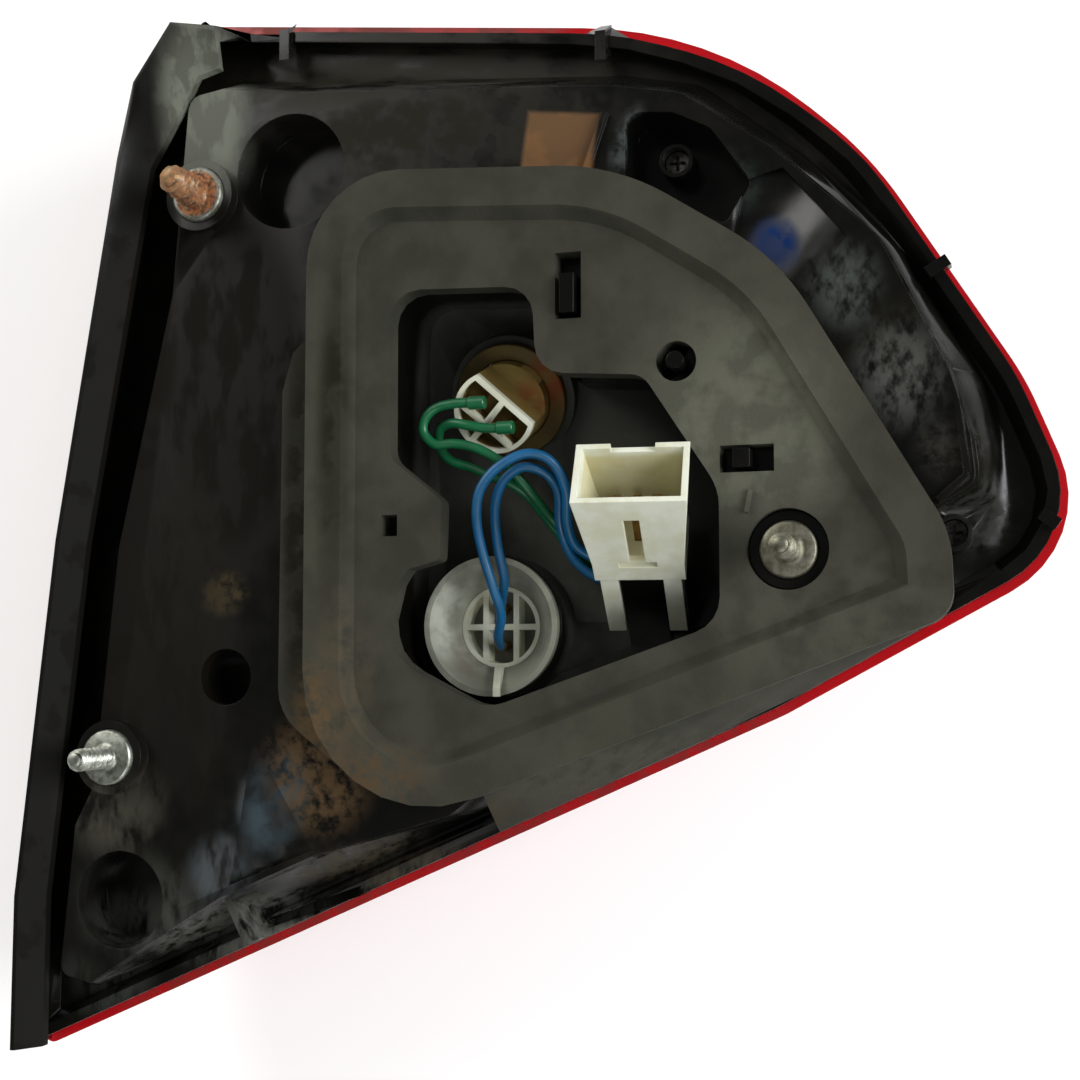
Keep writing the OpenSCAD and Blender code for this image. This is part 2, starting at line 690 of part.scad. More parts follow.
// Side band of the seal: sections along its lower edge, from the ring down to the rim's lip
band_ends = [0.29, 0.945];
band_count = 5;
band_seat = 1.5;
function band_section(s) =
    let (top = place(ring_corners[0]) + s * (place(ring_corners[1]) - place(ring_corners[0])),
        low = band_low(top[0]), t = band_t)
    [[top[0], panel_y, top[1] + band_seat], [low[0], lip_y, low[1] + t], [low[0], lip_y, low[1]],
        [low[0], lip_y - t, low[1]], [top[0], panel_y - sheet_t, top[1]]];
// Point of the rim's lower edge under an x
function band_low(x) =
    let (bend = place(rim_corners[1]), end = x < bend[0] ? place(rim_corners[0])
            : place(rim_corners[2]), u = (end - bend) / (end[0] - bend[0]))
    bend + u * (x - bend[0]);

module side_band() {
    sections = [for (k = [0 : band_count - 1])
        band_section(band_ends[0] + (band_ends[1] - band_ends[0]) * k / (band_count - 1))];
    skin(sections, sections[0][0], sections[band_count - 1][0]);
}

module gasket() {
    color("#4a4942") {
        difference() {
            union() {
                plate(outline(ring_corners, fine_steps), -ring_rise, panel_y);
                plate(outline(sheet_corners, few_steps), panel_y - sheet_t, panel_y);
            }
            plate(outline(inset(ring_corners, ring_w), fine_steps), -ring_rise - past, -web_rise);
            block(seal_notch, -ring_rise - past, panel_y + past);
            plate(outline(opening_corners, few_steps), -ring_rise - past, panel_y + past);
            block(slot_upright, -ring_rise - past, panel_y + past);
            block(slot_level, -ring_rise - past, panel_y + past);
            rod(slot_pin_at, slot_pin_r, -ring_rise - past, panel_y + past);
            rod(stud_seal_at, collar_seal_d / 2 + seal_gap, -ring_rise - past, panel_y + past);
        }
        side_band();
        bar(seal_ridge[0], seal_ridge[1], seal_ridge_w, -web_rise - seal_ridge_w, -web_rise + tiny);
    }
}

// Threaded stud with its collar, thread towards the viewer
module stud(at, d) {
    rod(at, stud_d / 2, -stud_len, 0);
    rod(at, d / 2, 0, collar_t);
    rod(at, stud_d / 2, collar_t, collar_t + stud_root);
    rod(at, stud_d / 2 * point_share, -stud_len - stud_point, -stud_len);
}
module stud_upper_left() {
    color("#a5562a") stud(stud_upper_at, collar_d);
}
module stud_lower_left() {
    color("#b8bab4") stud(stud_lower_at, collar_d);
}
module stud_gasket() {
    color("#b8bab4") stud(stud_seal_at, collar_seal_d);
}

// Outline of the dome at one of its shares, moved in and back for the inner skin
function dome_ring(share, inner) =
    let (s = share[1] - inner * dome_inner_step, y = seat_y + share[0] * dome_h - inner * lens_t)
    [for (p = outline(lens_corners, loft_steps))
        let (q = dome_middle + s * (p - dome_middle)) [q[0], y, q[1]]];
module dome(inner) {
    base = [for (p = dome_ring(dome_shares[0], inner)) [p[0], seat_y - inner * past, p[2]]];
    rings = [for (i = [inner : len(dome_shares) - 1]) dome_ring(dome_shares[i], inner)];
    skin(concat([base], rings), [dome_middle[0], seat_y - inner * past, dome_middle[1]],
        [dome_middle[0], seat_y + dome_h - inner * lens_t, dome_middle[1]]);
}
module lens_shell() {
    difference() {
        union() {
            plate(outline(lens_corners, fine_steps), seat_y, seat_y + lens_t);
            dome(0);
        }
        dome(1);
    }
}
module lens_window(d) {
    plate(outline(inset(window_corners, d), few_steps), seat_y + lens_t + past, seat_y + 2 * dome_h);
}
module lens_red() {
    color("#c8202a") {
        difference() {
            lens_shell();
            lens_window(0);
        }
        rim_ring(groove_in + (groove_w - tongue_t) / 2, groove_in + (groove_w + tongue_t) / 2,
            seat_y - groove_d / 2, seat_y + tiny);
    }
}
module lens_clear() {
    color("#dfe6e8", 0.5) intersection() {
        lens_shell();
        lens_window(0);
    }
}
module lens_sealant() {
    color("#2c2d2e") difference() {
        rim_ring(groove_in, groove_in + groove_w, seat_y - groove_d, seat_y);
        rim_ring(groove_in + (groove_w - tongue_t) / 2, groove_in + (groove_w + tongue_t) / 2,
            seat_y - groove_d / 2, seat_y + past);
    }
}

// Radius of a reflector bowl at a share of its depth, a parabola from its neck to its mouth
function bowl_r(s) = bowl_neck_r + (bowl_d / 2 - bowl_neck_r) * sqrt(s);
// Profile of a bowl's inner face and of its outer face, a wall away
bowl_inner = [for (k = [0 : bowl_steps])
    let (s = pow(k / bowl_steps, 2)) [bowl_r(s), reflector_y - bowl_depth * (1 - s)]];
module bowl(at) {
    turned(at, concat([for (p = bowl_inner) p],
        [[bowl_d / 2 + reflector_t, reflector_y], [bowl_d / 2 + reflector_t, reflector_y - bowl_depth * bowl_part],
            [bowl_d / 4 + reflector_t * 3, reflector_y - bowl_depth - reflector_t / 2],
            [bowl_neck_r, reflector_y - bowl_depth - reflector_t / 2]]));
}
module reflector() {
    color("#c9ccd0") {
        difference() {
            plate(outline(inset(rim_corners, reflector_inset), few_steps), reflector_y - reflector_t,
                reflector_y);
            rod([seat_low[0], seat_low[2]], bowl_d / 2, reflector_y - 2 * reflector_t, reflector_y + past);
            rod(bowl_up_at, bowl_d / 2, reflector_y - 2 * reflector_t, reflector_y + past);
            screw_bores();
        }
        bowl([seat_low[0], seat_low[2]]);
        bowl(bowl_up_at);
        difference() {
            union() {
                rod(screw_upper_at, post_r, pocket_y + shell_t, reflector_y - reflector_t / 2);
                rod(screw_right_at, post_r, seat_y, reflector_y - reflector_t / 2);
            }
            screw_bores();
        }
    }
}
module screw_bores() {
    for (at = [screw_upper_at, screw_right_at]) {
        rod(at, screw_d / 2 + seat_gap / 2, pocket_y, reflector_y - 2 * reflector_t);
    }
}

// Screw with a dished head, driven from behind
module screw(at) {
    difference() {
        rod(at, screw_head_d / 2, screw_seat_y - screw_head_h, screw_seat_y);
        block([[at[0] - screw_head_d / 3, at[1] - key_w / 4], [at[0] + screw_head_d / 3, at[1] + key_w / 4]],
            screw_seat_y - screw_head_h - past, screw_seat_y - screw_head_h / 2);
        block([[at[0] - key_w / 4, at[1] - screw_head_d / 3], [at[0] + key_w / 4, at[1] + screw_head_d / 3]],
            screw_seat_y - screw_head_h - past, screw_seat_y - screw_head_h / 2);
    }
    rod(at, screw_d / 2, screw_seat_y, screw_seat_y + screw_len);
}
module reflector_screw_upper() {
    color("#8f9290") screw(screw_upper_at);
}
module reflector_screw_right() {
    color("#8f9290") screw(screw_right_at);
}

// Dished seal of the lower holder, and flat seal of the upper one
module holder_seal_lower() {
    rim_r = seal_low_d / 2;
    hole_r = holder_d / 2 + seat_gap;
    color("#9a9590") at_lower() turned([0, 0], [[rim_r, 0], [rim_r, dish_rim],
        [tube_low_r - tube_t, dish_rim], [hole_r + seal_t / 2, dish_d + seal_t / 2],
        [hole_r, dish_d + seal_t / 2], [hole_r, dish_d], [rim_r - seal_t / 2, 0]]);
}
module holder_seal_upper() {
    color("#5a4a28") at_upper() difference() {
        rod([0, 0], seal_up_d / 2, 0, seal_t);
        rod([0, 0], holder_d / 2 + seat_gap, -past, seal_t + past);
    }
}

// Three locking lugs about Y
module lugs(r, w, y0, y1) {
    for (a = [0, 120, 240]) {
        rotate([0, a, 0]) block([[0, -w / 2], [r, w / 2]], y0, y1);
    }
}
// Bulb holder: open cells towards the viewer, body and locking lugs towards the lamp
module holder(face, back, turn) {
    r = holder_d / 2;
    rotate([0, turn, 0]) difference() {
        union() {
            rod([0, 0], r, face, back);
            lugs(lug_r, lug_w, back - lug_t, back);
        }
        difference() {
            rod([0, 0], r - holder_t, face - past, face + cell_d);
            block([[-r, -rib_t / 2], [r, rib_t / 2]], face, face + cell_d);
            for (x = [-rib_half, rib_half]) {
                block([[x - rib_t / 2, -r], [x + rib_t / 2, r]], face, face + cell_d);
            }
        }
        block([[-bulb_base_w / 2 - seat_gap, -bulb_base_t / 2 - seat_gap],
            [bulb_base_w / 2 + seat_gap, bulb_base_t / 2 + seat_gap]],
            back - bulb_base_h, back + past);
        for (p = contact_places) {
            block([[p[0] - contact_w / 2 - seat_gap, p[1] - blade_t / 2 - seat_gap],
                [p[0] + contact_w / 2 + seat_gap, p[1] + blade_t / 2 + seat_gap]],
                face + cell_d - past, face + cell_d + cell_floor);
        }
    }
}
// Places of the two contacts in a holder, across it
contact_places = [[0, -5], [0, 5]];
blade_t = 0.8;
contact_w = 3;
holder_low_back = bay_y + shell_t + lug_t + 2 * seat_gap - seat_low[1];
holder_up_back = 13;
holder_turn = -45;
lug_turn = 60;
module holder_lower() {
    color("#efeedd") at_lower() {
        holder(dish_d, holder_low_back, 0);
        rotate([0, 90, 0]) linear_extrude(height = tab_w, center = true) polygon(tab_profile);
    }
}
// Locking tab of the lower holder, laid over its dished seal: radius and depth
tab_w = 2;
tab_h = 2.4;
tab_lead = 0.5;
tab_bite = 1;
tab_profile = [[holder_d / 2 - holder_t / 2, dish_d + tab_bite], [holder_d / 2 - holder_t / 2, dish_d - tab_h],
    [seal_low_d / 2 - seal_t + tab_lead, -tab_h], [seal_low_d / 2, -tab_h],
    [seal_low_d / 2, -2 * seat_gap], [seal_low_d / 2 - seal_t / 2 - 2 * seat_gap, -2 * seat_gap],
    [holder_d / 2 - seat_gap, dish_d - 2 * seat_gap], [holder_d / 2 - seat_gap, dish_d + tab_bite]];
module holder_upper() {
    r = holder_d / 2;
    color("#efeedd") at_upper() difference() {
        holder(-holder_up_rise, holder_up_back, holder_turn);
        rotate([0, holder_turn, 0]) block([[rib_half + rib_t / 2, -r - past], [r + past, r + past]],
            -holder_up_rise - past, open_side_d - holder_up_rise);
    }
}

// Contacts: a blade in the holder's slot and a barrel crimped on the lead
barrel_t = 0.4;
barrel_len = 4;
barrel_rise = 2.5;
module blade(p, y0, y1) {
    block([[p[0] - contact_w / 2, p[1] - blade_t / 2], [p[0] + contact_w / 2, p[1] + blade_t / 2]], y0, y1);
}
module contacts_lower() {
    r = lead_d / 2 + lead_gap;
    color("#b08d4a") at_lower() for (p = contact_places) {
        difference() {
            rod(p, r + barrel_t, dish_d, dish_d + barrel_len);
            rod(p, r, dish_d - past, dish_d + barrel_len - blade_t);
        }
        blade(p, dish_d + barrel_len - blade_t / 2, dish_d + cell_d + cell_floor);
    }
}
module contacts_upper() {
    r = lead_d / 2 + lead_gap;
    y = -holder_up_rise - barrel_rise;
    color("#b08d4a") at_upper() for (p = contact_places) {
        side = [p[0] * cos(holder_turn) + p[1] * sin(holder_turn),
            p[1] * cos(holder_turn) - p[0] * sin(holder_turn)];
        difference() {
            translate([side[0], y, side[1]]) rotate([0, 90, 0])
                cylinder(r = r + barrel_t, h = barrel_len, center = true);
            translate([side[0], y, side[1]]) rotate([0, 90, 0])
                cylinder(r = r, h = barrel_len + past, center = true);
        }
        rotate([0, holder_turn, 0])
            blade(p, y + r + seat_gap, -holder_up_rise + cell_d + cell_floor);
    }
}

// Wedge bulb: glass of revolution over a flat base in the holder's slot
module bulb(back, turn) {
    r = bulb_d / 2;
    neck = 5;
    turned([0, 0], [[0, back], [r * 0.7, back], [r * 0.8, back + 2], [r, back + neck],
        [r, back + bulb_len - r * 0.8], [r * 0.85, back + bulb_len - r * 0.35],
        [r * 0.5, back + bulb_len - r * 0.08], [0, back + bulb_len]]);
    rotate([0, turn, 0]) block([[-bulb_base_w / 2, -bulb_base_t / 2], [bulb_base_w / 2, bulb_base_t / 2]],
        back - bulb_base_h + seat_gap, back + past);
}
module bulb_lower() {
    color("#e8eef0", 0.5) at_lower() bulb(holder_low_back, 0);
}
module bulb_upper() {
    color("#e8eef0", 0.5) at_upper() bulb(holder_up_back, holder_turn);
}

// Hood of the plug socket in its own frame: outline across the mouth tapers towards the foot
function hood_side(w0, w1, t) = [[-w0 / 2 + t, 0], [w0 / 2 - t, 0], [w1 / 2 - t, -hood_d],
    [-w1 / 2 + t, -hood_d]];
module hood_body(t, y0, y1) {
    translate([0, y1, 0]) rotate([90, 0, 0]) linear_extrude(height = y1 - y0)
        polygon([for (p = hood_side(hood_w, foot_w, t)) p]);
}
module connector_housing() {
    h = hood_h / 2;
    color("#e6e4cf") at_hood() {
        difference() {
            union() {
                hood_body(0, -h, h);
                translate([-foot_w / 2, -h, -hood_d - foot_h]) cube([foot_w, hood_h, foot_h]);
            }
            difference() {
                translate([0, 0, past / 20]) hood_body(hood_t, -h + hood_t, h - hood_t);
                for (x = [-key_w * 2.4, key_w * 2.4]) {
                    translate([x - key_w / 2, -h, -hood_d]) cube([key_w, hood_t + key_d, hood_d - 2]);
                }
                translate([-hood_w, -h, -hood_d]) cube([2 * hood_w, hood_h, hood_t]);
            }
            translate([-slot_w / 2, -h - past, -hood_d + 1]) cube([slot_w, hood_t + past, hood_d - 8]);
            translate([-bar_w / 2, -h - past, -hood_d - 1]) cube([bar_w, hood_t + past, 2]);
            translate([-slot_w * 1.4, h - 2 * hood_t, -1.5]) cube([slot_w * 2.8, 3 * hood_t, 2]);
            pin_rows() translate([-blade_w / 2 - seat_gap, -blade_t / 2 - seat_gap, -hood_d - foot_h - past])
                cube([blade_w + 2 * seat_gap, blade_t + 2 * seat_gap, foot_h + 4 * past]);
        }
        for (side = [-1, 1]) {
            translate([side * (rail_w / 2 + 2 * seat_gap + leg_w / 2) - leg_w / 2, -leg_v[1], -leg_end])
                cube([leg_w, leg_v[1] - leg_v[0], leg_end - hood_d - foot_h + past]);
        }
    }
}
// Six blades in two rows
module pin_rows() {
    for (x = [-pin_pitch, 0, pin_pitch], y = [-2.4, 4]) {
        translate([x, y, 0]) children();
    }
}
module connector_pins() {
    color("#c2a65a") at_hood() pin_rows()
        translate([-blade_w / 2, -blade_t / 2, -hood_d - foot_h])
            cube([blade_w, blade_t, foot_h + hood_t + pin_rise]);
}
module connector_wire_seal() {
    color("#8b8f86") at_hood() difference() {
        translate([-seal_block[0] / 2, 0, -hood_d - foot_h - seal_block[2]])
            cube([seal_block[0], seal_block[1], seal_block[2]]);
        for (p = rear_holes) {
            translate([p[0], p[1], -hood_d - foot_h - seal_block[2] - past])
                cylinder(r = lead_d / 2 + lead_gap, h = seal_block[2] + 2 * past);
        }
    }
}

// Lead: a tube of eight flat sides along its route
lead_sides = 8;
function tangent(r, i) = unit(r[min(i + 1, len(r) - 1)] - r[max(i - 1, 0)]);
function carried(n, t) = unit(n - (n * t) * t);
function normals(r, i, n) = i >= len(r) ? [] :
    let (m = carried(n, tangent(r, i))) concat([m], normals(r, i + 1, m));
module lead(r) {
    ns = normals(r, 0, [0.3, 0.1, 1]);
    sections = [for (i = [0 : len(r) - 1])
        let (n = ns[i], b = cross(tangent(r, i), n))
        [for (k = [0 : lead_sides - 1]) let (a = -360 * k / lead_sides)
            r[i] + lead_d / 2 * (cos(a) * n + sin(a) * b)]];
    skin(sections, r[0], r[len(r) - 1]);
}
module wire_green_a() {
    color("#12804a") lead(green_a);
}
module wire_green_b() {
    color("#12804a") lead(green_b);
}
module wire_blue_a() {
    color("#1f6fae") lead(blue_a);
}
module wire_blue_b() {
    color("#1f6fae") lead(blue_b);
}

housing();
housing_face();
housing_bay();
housing_pocket_upper_left();
housing_pocket_lower_left();
housing_pocket_middle_left();
housing_screw_pocket();
gasket();
stud_upper_left();
stud_lower_left();
stud_gasket();
lens_red();
lens_clear();
lens_sealant();
reflector();
reflector_screw_upper();
reflector_screw_right();
holder_lower();
holder_upper();
holder_seal_lower();
holder_seal_upper();
contacts_lower();
contacts_upper();
bulb_lower();
bulb_upper();
connector_housing();
connector_pins();
connector_wire_seal();
wire_green_a();
wire_green_b();
wire_blue_a();
wire_blue_b();
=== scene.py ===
"""Tail light cluster, seen from its mounting side: black moulded housing, foam seal, studs, holders and leads.

The lamp lies with its lens on a pale table whose plane faces the camera. All sizes are in millimetres in the
lamp's own frame (X right, Y into the lamp, Z up) and are turned to metres where a mesh is made.
"""

from __future__ import annotations

import logging
import math
from dataclasses import dataclass, field, replace
from enum import Enum
from typing import Any

import bmesh
import bpy
import numpy as np
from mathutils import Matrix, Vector

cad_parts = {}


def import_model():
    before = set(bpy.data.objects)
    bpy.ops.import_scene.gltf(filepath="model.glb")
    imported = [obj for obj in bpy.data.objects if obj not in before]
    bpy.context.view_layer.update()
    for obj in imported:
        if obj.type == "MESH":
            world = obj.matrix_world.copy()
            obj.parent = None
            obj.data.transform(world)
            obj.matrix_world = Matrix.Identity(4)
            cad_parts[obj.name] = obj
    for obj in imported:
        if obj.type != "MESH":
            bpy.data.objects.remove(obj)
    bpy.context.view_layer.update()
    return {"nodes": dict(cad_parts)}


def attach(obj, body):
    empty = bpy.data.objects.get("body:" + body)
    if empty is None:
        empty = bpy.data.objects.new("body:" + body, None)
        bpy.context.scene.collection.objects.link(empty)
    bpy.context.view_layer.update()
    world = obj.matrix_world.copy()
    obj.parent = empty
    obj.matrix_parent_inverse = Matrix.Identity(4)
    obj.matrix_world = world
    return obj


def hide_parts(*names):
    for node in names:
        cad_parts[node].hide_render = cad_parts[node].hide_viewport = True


log = logging.getLogger("tail_light")
MM = 0.001
WELD = 0.002  # Points closer than this, in mm, are one.
FLAT = 0.4  # Neighbouring facets within this angle, in degrees, are one face.
Point = tuple[float, float, float]


# Small tools.


def linear(colour: str) -> tuple[float, float, float, float]:
    """Turns an sRGB hex colour into linear light.

    Args:
        colour: Colour written as "#rrggbb".

    Returns:
        Linear red, green, blue and an alpha of one.
    """
    parts = np.array([int(colour[i : i + 2], 16) for i in (1, 3, 5)]) / 255.0
    light = np.where(parts <= 0.04045, parts / 12.92, ((parts + 0.055) / 1.055) ** 2.4)
    return (float(light[0]), float(light[1]), float(light[2]), 1.0)


def add(tree: bpy.types.NodeTree, kind: str, inputs: dict[Any, Any] | None = None, **settings: Any) -> bpy.types.Node:
    """Adds a node, sets its settings, and sets or links its inputs.

    Args:
        tree: Node tree that gets the node.
        kind: Blender's name of the node type.
        inputs: Input name or number, to a value or to an output socket that is linked to it.
        **settings: The node's own settings.

    Returns:
        The new node.
    """
    node = tree.nodes.new(kind)
    for key, value in settings.items():
        setattr(node, key, value)
    for key, value in (inputs or {}).items():
        if isinstance(value, bpy.types.NodeSocket):
            tree.links.new(value, node.inputs[key])
        else:
            node.inputs[key].default_value = value
    return node


def per_mm(size: float) -> float:
    """Texture scale at which one feature of the pattern is about size millimetres wide."""
    return 1.0 / (size * MM)


# Patterns.


def spots(
    tree: bpy.types.NodeTree,
    coords: bpy.types.NodeSocket,
    size: float,
    low: float = 0.4,
    high: float = 0.6,
    detail: float = 3.0,
    stretch: Point = (1.0, 1.0, 1.0),
    turn: float = 0.0,
) -> bpy.types.NodeSocket:
    """Uneven patches: fractal noise of a real size, cut softly between two levels.

    Args:
        tree: Node tree of the material.
        coords: Object coordinates.
        size: Width of a patch in mm.
        low: Noise level that gives 0.
        high: Noise level that gives 1.
        detail: Octaves of the noise.
        stretch: Share of the pattern's scale along each axis, below 1 for long streaks.
        turn: Turn of the streaks about Y, in degrees.

    Returns:
        A factor from 0 to 1.
    """
    placed = add(
        tree,
        "ShaderNodeMapping",
        {"Vector": coords, "Rotation": (0.0, math.radians(turn), 0.0), "Scale": stretch},
    )
    noise = add(
        tree,
        "ShaderNodeTexNoise",
        {"Vector": placed.outputs[0], "Scale": per_mm(size), "Detail": detail, "Roughness": 0.6},
    )
    cut = add(
        tree,
        "ShaderNodeMapRange",
        {"Value": noise.outputs[0], "From Min": low, "From Max": high},
        interpolation_type="SMOOTHSTEP",
    )
    return cut.outputs[0]


def near(tree: bpy.types.NodeTree, coords: bpy.types.NodeSocket, patch: Patch) -> bpy.types.NodeSocket:
    """Soft area of a patch: 1 around its middle, falling to 0 at its reach.

    The place is taken into the patch's own turned frame and divided by its reach. A round patch falls with the
    length of that, and a square one with its largest part.

    Args:
        tree: Node tree of the material.
        coords: Object coordinates.
        patch: The patch.

    Returns:
        A factor from 0 to 1.
    """
    local = add(
        tree,
        "ShaderNodeMapping",
        {
            "Vector": coords,
            "Location": tuple(v * MM for v in patch.at),
            "Rotation": tuple(math.radians(v) for v in patch.turned),
            "Scale": tuple(v * MM for v in patch.reach),
        },
        vector_type="TEXTURE",
    ).outputs[0]
    if patch.square:
        positive = add(tree, "ShaderNodeVectorMath", {0: local}, operation="ABSOLUTE").outputs[0]
        parts = add(tree, "ShaderNodeSeparateXYZ", {0: positive}).outputs
        wider = add(tree, "ShaderNodeMath", {0: parts[0], 1: parts[1]}, operation="MAXIMUM").outputs[0]
        distance = add(tree, "ShaderNodeMath", {0: wider, 1: parts[2]}, operation="MAXIMUM").outputs[0]
    else:
        distance = add(tree, "ShaderNodeVectorMath", {0: local}, operation="LENGTH").outputs["Value"]
    fall = add(
        tree,
        "ShaderNodeMapRange",
        {"Value": distance, "From Min": patch.core, "From Max": 1.0, "To Min": 1.0, "To Max": 0.0},
        interpolation_type="SMOOTHSTEP",
    )
    return fall.outputs[0]


# Finishes.


class Grain(Enum):
    """How the fine relief of a surface looks."""

    NONE = "none"
    SPARK = "spark"


@dataclass(frozen=True)
class Patch:
    """A dirty or bleached area, or one where light or shade is painted into the colour.

    Args:
        at: Middle in mm.
        reach: Half size along each axis in mm.
        colour: Colour of the dirt, or of the painted light or shade.
        cover: Share of the surface that it hides, from 0 to 1.
        size: Width of the uneven spots in it, in mm.
        stretch: Share of the spots' scale along each axis.
        turn: Turn of the streaks about Y, in degrees.
        core: Share of the reach that stays at full strength.
        square: Whether the area is a block and not an ellipsoid.
        turned: Turn of the area about X, Y and Z, in degrees.
        even: Share of the cover that the spots don't break up.
    """

    at: Point
    reach: Point
    colour: str
    cover: float = 0.6
    size: float = 7.0
    stretch: Point = (1.0, 1.0, 1.0)
    turn: float = 0.0
    core: float = 0.35
    square: bool = False
    turned: Point = (0.0, 0.0, 0.0)
    even: float = 0.0


@dataclass(frozen=True)
class Finish:
    """A surface: the material that the real one is made of, how it was made, what lies on it, and light or shade
    painted on it in places.

    Args:
        name: Common name of the material and of how its surface was made.
        colour: Main colour.
        roughness: Roughness of the clean surface.
        metallic: 1 for bare metal.
        ior: Index of refraction; metals keep the default.
        specular: Specular level, below 0.5 where dirt dulls the surface.
        transmission: Share of light that passes.
        subsurface: Share of light that scatters inside.
        scatter: How far red, green and blue light scatters, as shares of the depth.
        scatter_depth: That depth in mm.
        mottle: Second colour that varies the first.
        mottle_size: Width of that variation in mm.
        mottle_cover: How much of it shows.
        rough_more: Roughness that uneven soiling adds.
        rough_size: Width of the spots of that soiling in mm.
        grain: Kind of fine relief.
        grain_size: Width of the relief in mm.
        grain_depth: Depth of the relief in mm.
        edge: Radius in mm that rounds the shading of edges.
        patches: Dirty areas, and areas of painted light or shade.
        soil_rough: Roughness of dry dirt, given under every patch.
        soil_specular: Share of the specular level that is left under dry dirt, and under every patch.
    """

    name: str
    colour: str
    roughness: float
    metallic: float = 0.0
    ior: float = 1.5
    specular: float = 0.5
    transmission: float = 0.0
    subsurface: float = 0.0
    scatter: Point = (1.0, 0.9, 0.7)
    scatter_depth: float = 1.5
    mottle: str | None = None
    mottle_size: float = 8.0
    mottle_cover: float = 0.5
    rough_more: float = 0.12
    rough_size: float = 11.0
    grain: Grain = Grain.NONE
    grain_size: float = 0.6
    grain_depth: float = 0.03
    edge: float = 0.0
    patches: tuple[Patch, ...] = ()
    soil_rough: float = 0.7
    soil_specular: float = 0.2

    def tint(self, tree: bpy.types.NodeTree, coords: bpy.types.NodeSocket) -> tuple[Any, Any]:
        """Works out the colour and how much of the surface lies under patches, which hold dirt and painted light and
        shade.

        Args:
            tree: Node tree of the material.
            coords: Object coordinates.

        Returns:
            The colour and the share under patches, each a socket, or None where it is the same all over.
        """
        colour: Any = None
        dirt_and_painted_light: Any = None
        if self.mottle:
            uneven = spots(tree, coords, self.mottle_size, low=0.36, high=0.66)
            shown = add(tree, "ShaderNodeMath", {0: uneven, 1: self.mottle_cover}, operation="MULTIPLY").outputs[0]
            pair = {0: shown, 6: linear(self.colour), 7: linear(self.mottle)}
            colour = add(tree, "ShaderNodeMix", pair, data_type="RGBA").outputs[2]
        for patch in self.patches:
            shown = near(tree, coords, patch)
            uneven = spots(tree, coords, patch.size, low=0.3, high=0.62, stretch=patch.stretch, turn=patch.turn)
            if patch.even:
                uneven = add(tree, "ShaderNodeMath", {0: uneven, 1: patch.even}, operation="MAXIMUM").outputs[0]
            for factor in (uneven, patch.cover):
                shown = add(tree, "ShaderNodeMath", {0: shown, 1: factor}, operation="MULTIPLY").outputs[0]
            pair = {0: shown, 6: colour or linear(self.colour), 7: linear(patch.colour)}
            colour = add(tree, "ShaderNodeMix", pair, data_type="RGBA").outputs[2]
            if dirt_and_painted_light is None:
                dirt_and_painted_light = shown
            else:
                dirt_and_painted_light = add(tree, "ShaderNodeMath", {0: dirt_and_painted_light, 1: shown}, operation="MAXIMUM").outputs[0]
        return colour, dirt_and_painted_light

    def relief(self, tree: bpy.types.NodeTree, coords: bpy.types.NodeSocket) -> Any:
        """Fine relief of the surface as a normal, or None on a smooth one.

        Args:
            tree: Node tree of the material.
            coords: Object coordinates.

        Returns:
            A normal socket or None.
        """
        normal: Any = None
        if self.edge:
            normal = add(tree, "ShaderNodeBevel", {"Radius": self.edge * MM}, samples=2).outputs[0]
        if self.grain is Grain.SPARK:
            fine = add(
                tree,
                "ShaderNodeTexNoise",
                {"Vector": coords, "Scale": per_mm(self.grain_size), "Detail": 3.0, "Roughness": 0.6},
            )
            inputs: dict[Any, Any] = {
                "Height": fine.outputs[0],
                "Distance": self.grain_depth * MM,
                "Strength": 1.0,
            }
            if normal is not None:
                inputs["Normal"] = normal
            normal = add(tree, "ShaderNodeBump", inputs).outputs[0]
        return normal

    def material(self) -> bpy.types.Material:
        """Builds the material with a Principled shader.

        Returns:
            The material, named for what it is.
        """
        made = bpy.data.materials.new(self.name)
        made.use_nodes = True
        tree = made.node_tree
        tree.nodes.clear()
        coords = add(tree, "ShaderNodeTexCoord").outputs["Object"]
        colour, dirt_and_painted_light = self.tint(tree, coords)
        inputs: dict[Any, Any] = {
            "Base Color": colour or linear(self.colour),
            "Metallic": self.metallic,
            "IOR": self.ior,
            "Specular IOR Level": self.specular,
            "Transmission Weight": self.transmission,
            "Subsurface Weight": self.subsurface,
        }
        if self.subsurface:
            inputs["Subsurface Radius"] = self.scatter
            inputs["Subsurface Scale"] = self.scatter_depth * MM
        rough = add(
            tree,
            "ShaderNodeMapRange",
            {
                "Value": spots(tree, coords, self.rough_size, low=0.3, high=0.7),
                "To Min": self.roughness,
                "To Max": min(1.0, self.roughness + self.rough_more),
            },
        ).outputs[0]
        if dirt_and_painted_light is not None:
            matt = {0: dirt_and_painted_light, 2: rough, 3: self.soil_rough}
            rough = add(tree, "ShaderNodeMix", matt, data_type="FLOAT").outputs[0]
            if not self.metallic:
                dull = {0: dirt_and_painted_light, 2: self.specular, 3: self.specular * self.soil_specular}
                inputs["Specular IOR Level"] = add(tree, "ShaderNodeMix", dull, data_type="FLOAT").outputs[0]
        inputs["Roughness"] = rough
        normal = self.relief(tree, coords)
        if normal is not None:
            inputs["Normal"] = normal
        shader = add(tree, "ShaderNodeBsdfPrincipled", inputs)
        add(tree, "ShaderNodeOutputMaterial", {"Surface": shader.outputs[0]})
        return made


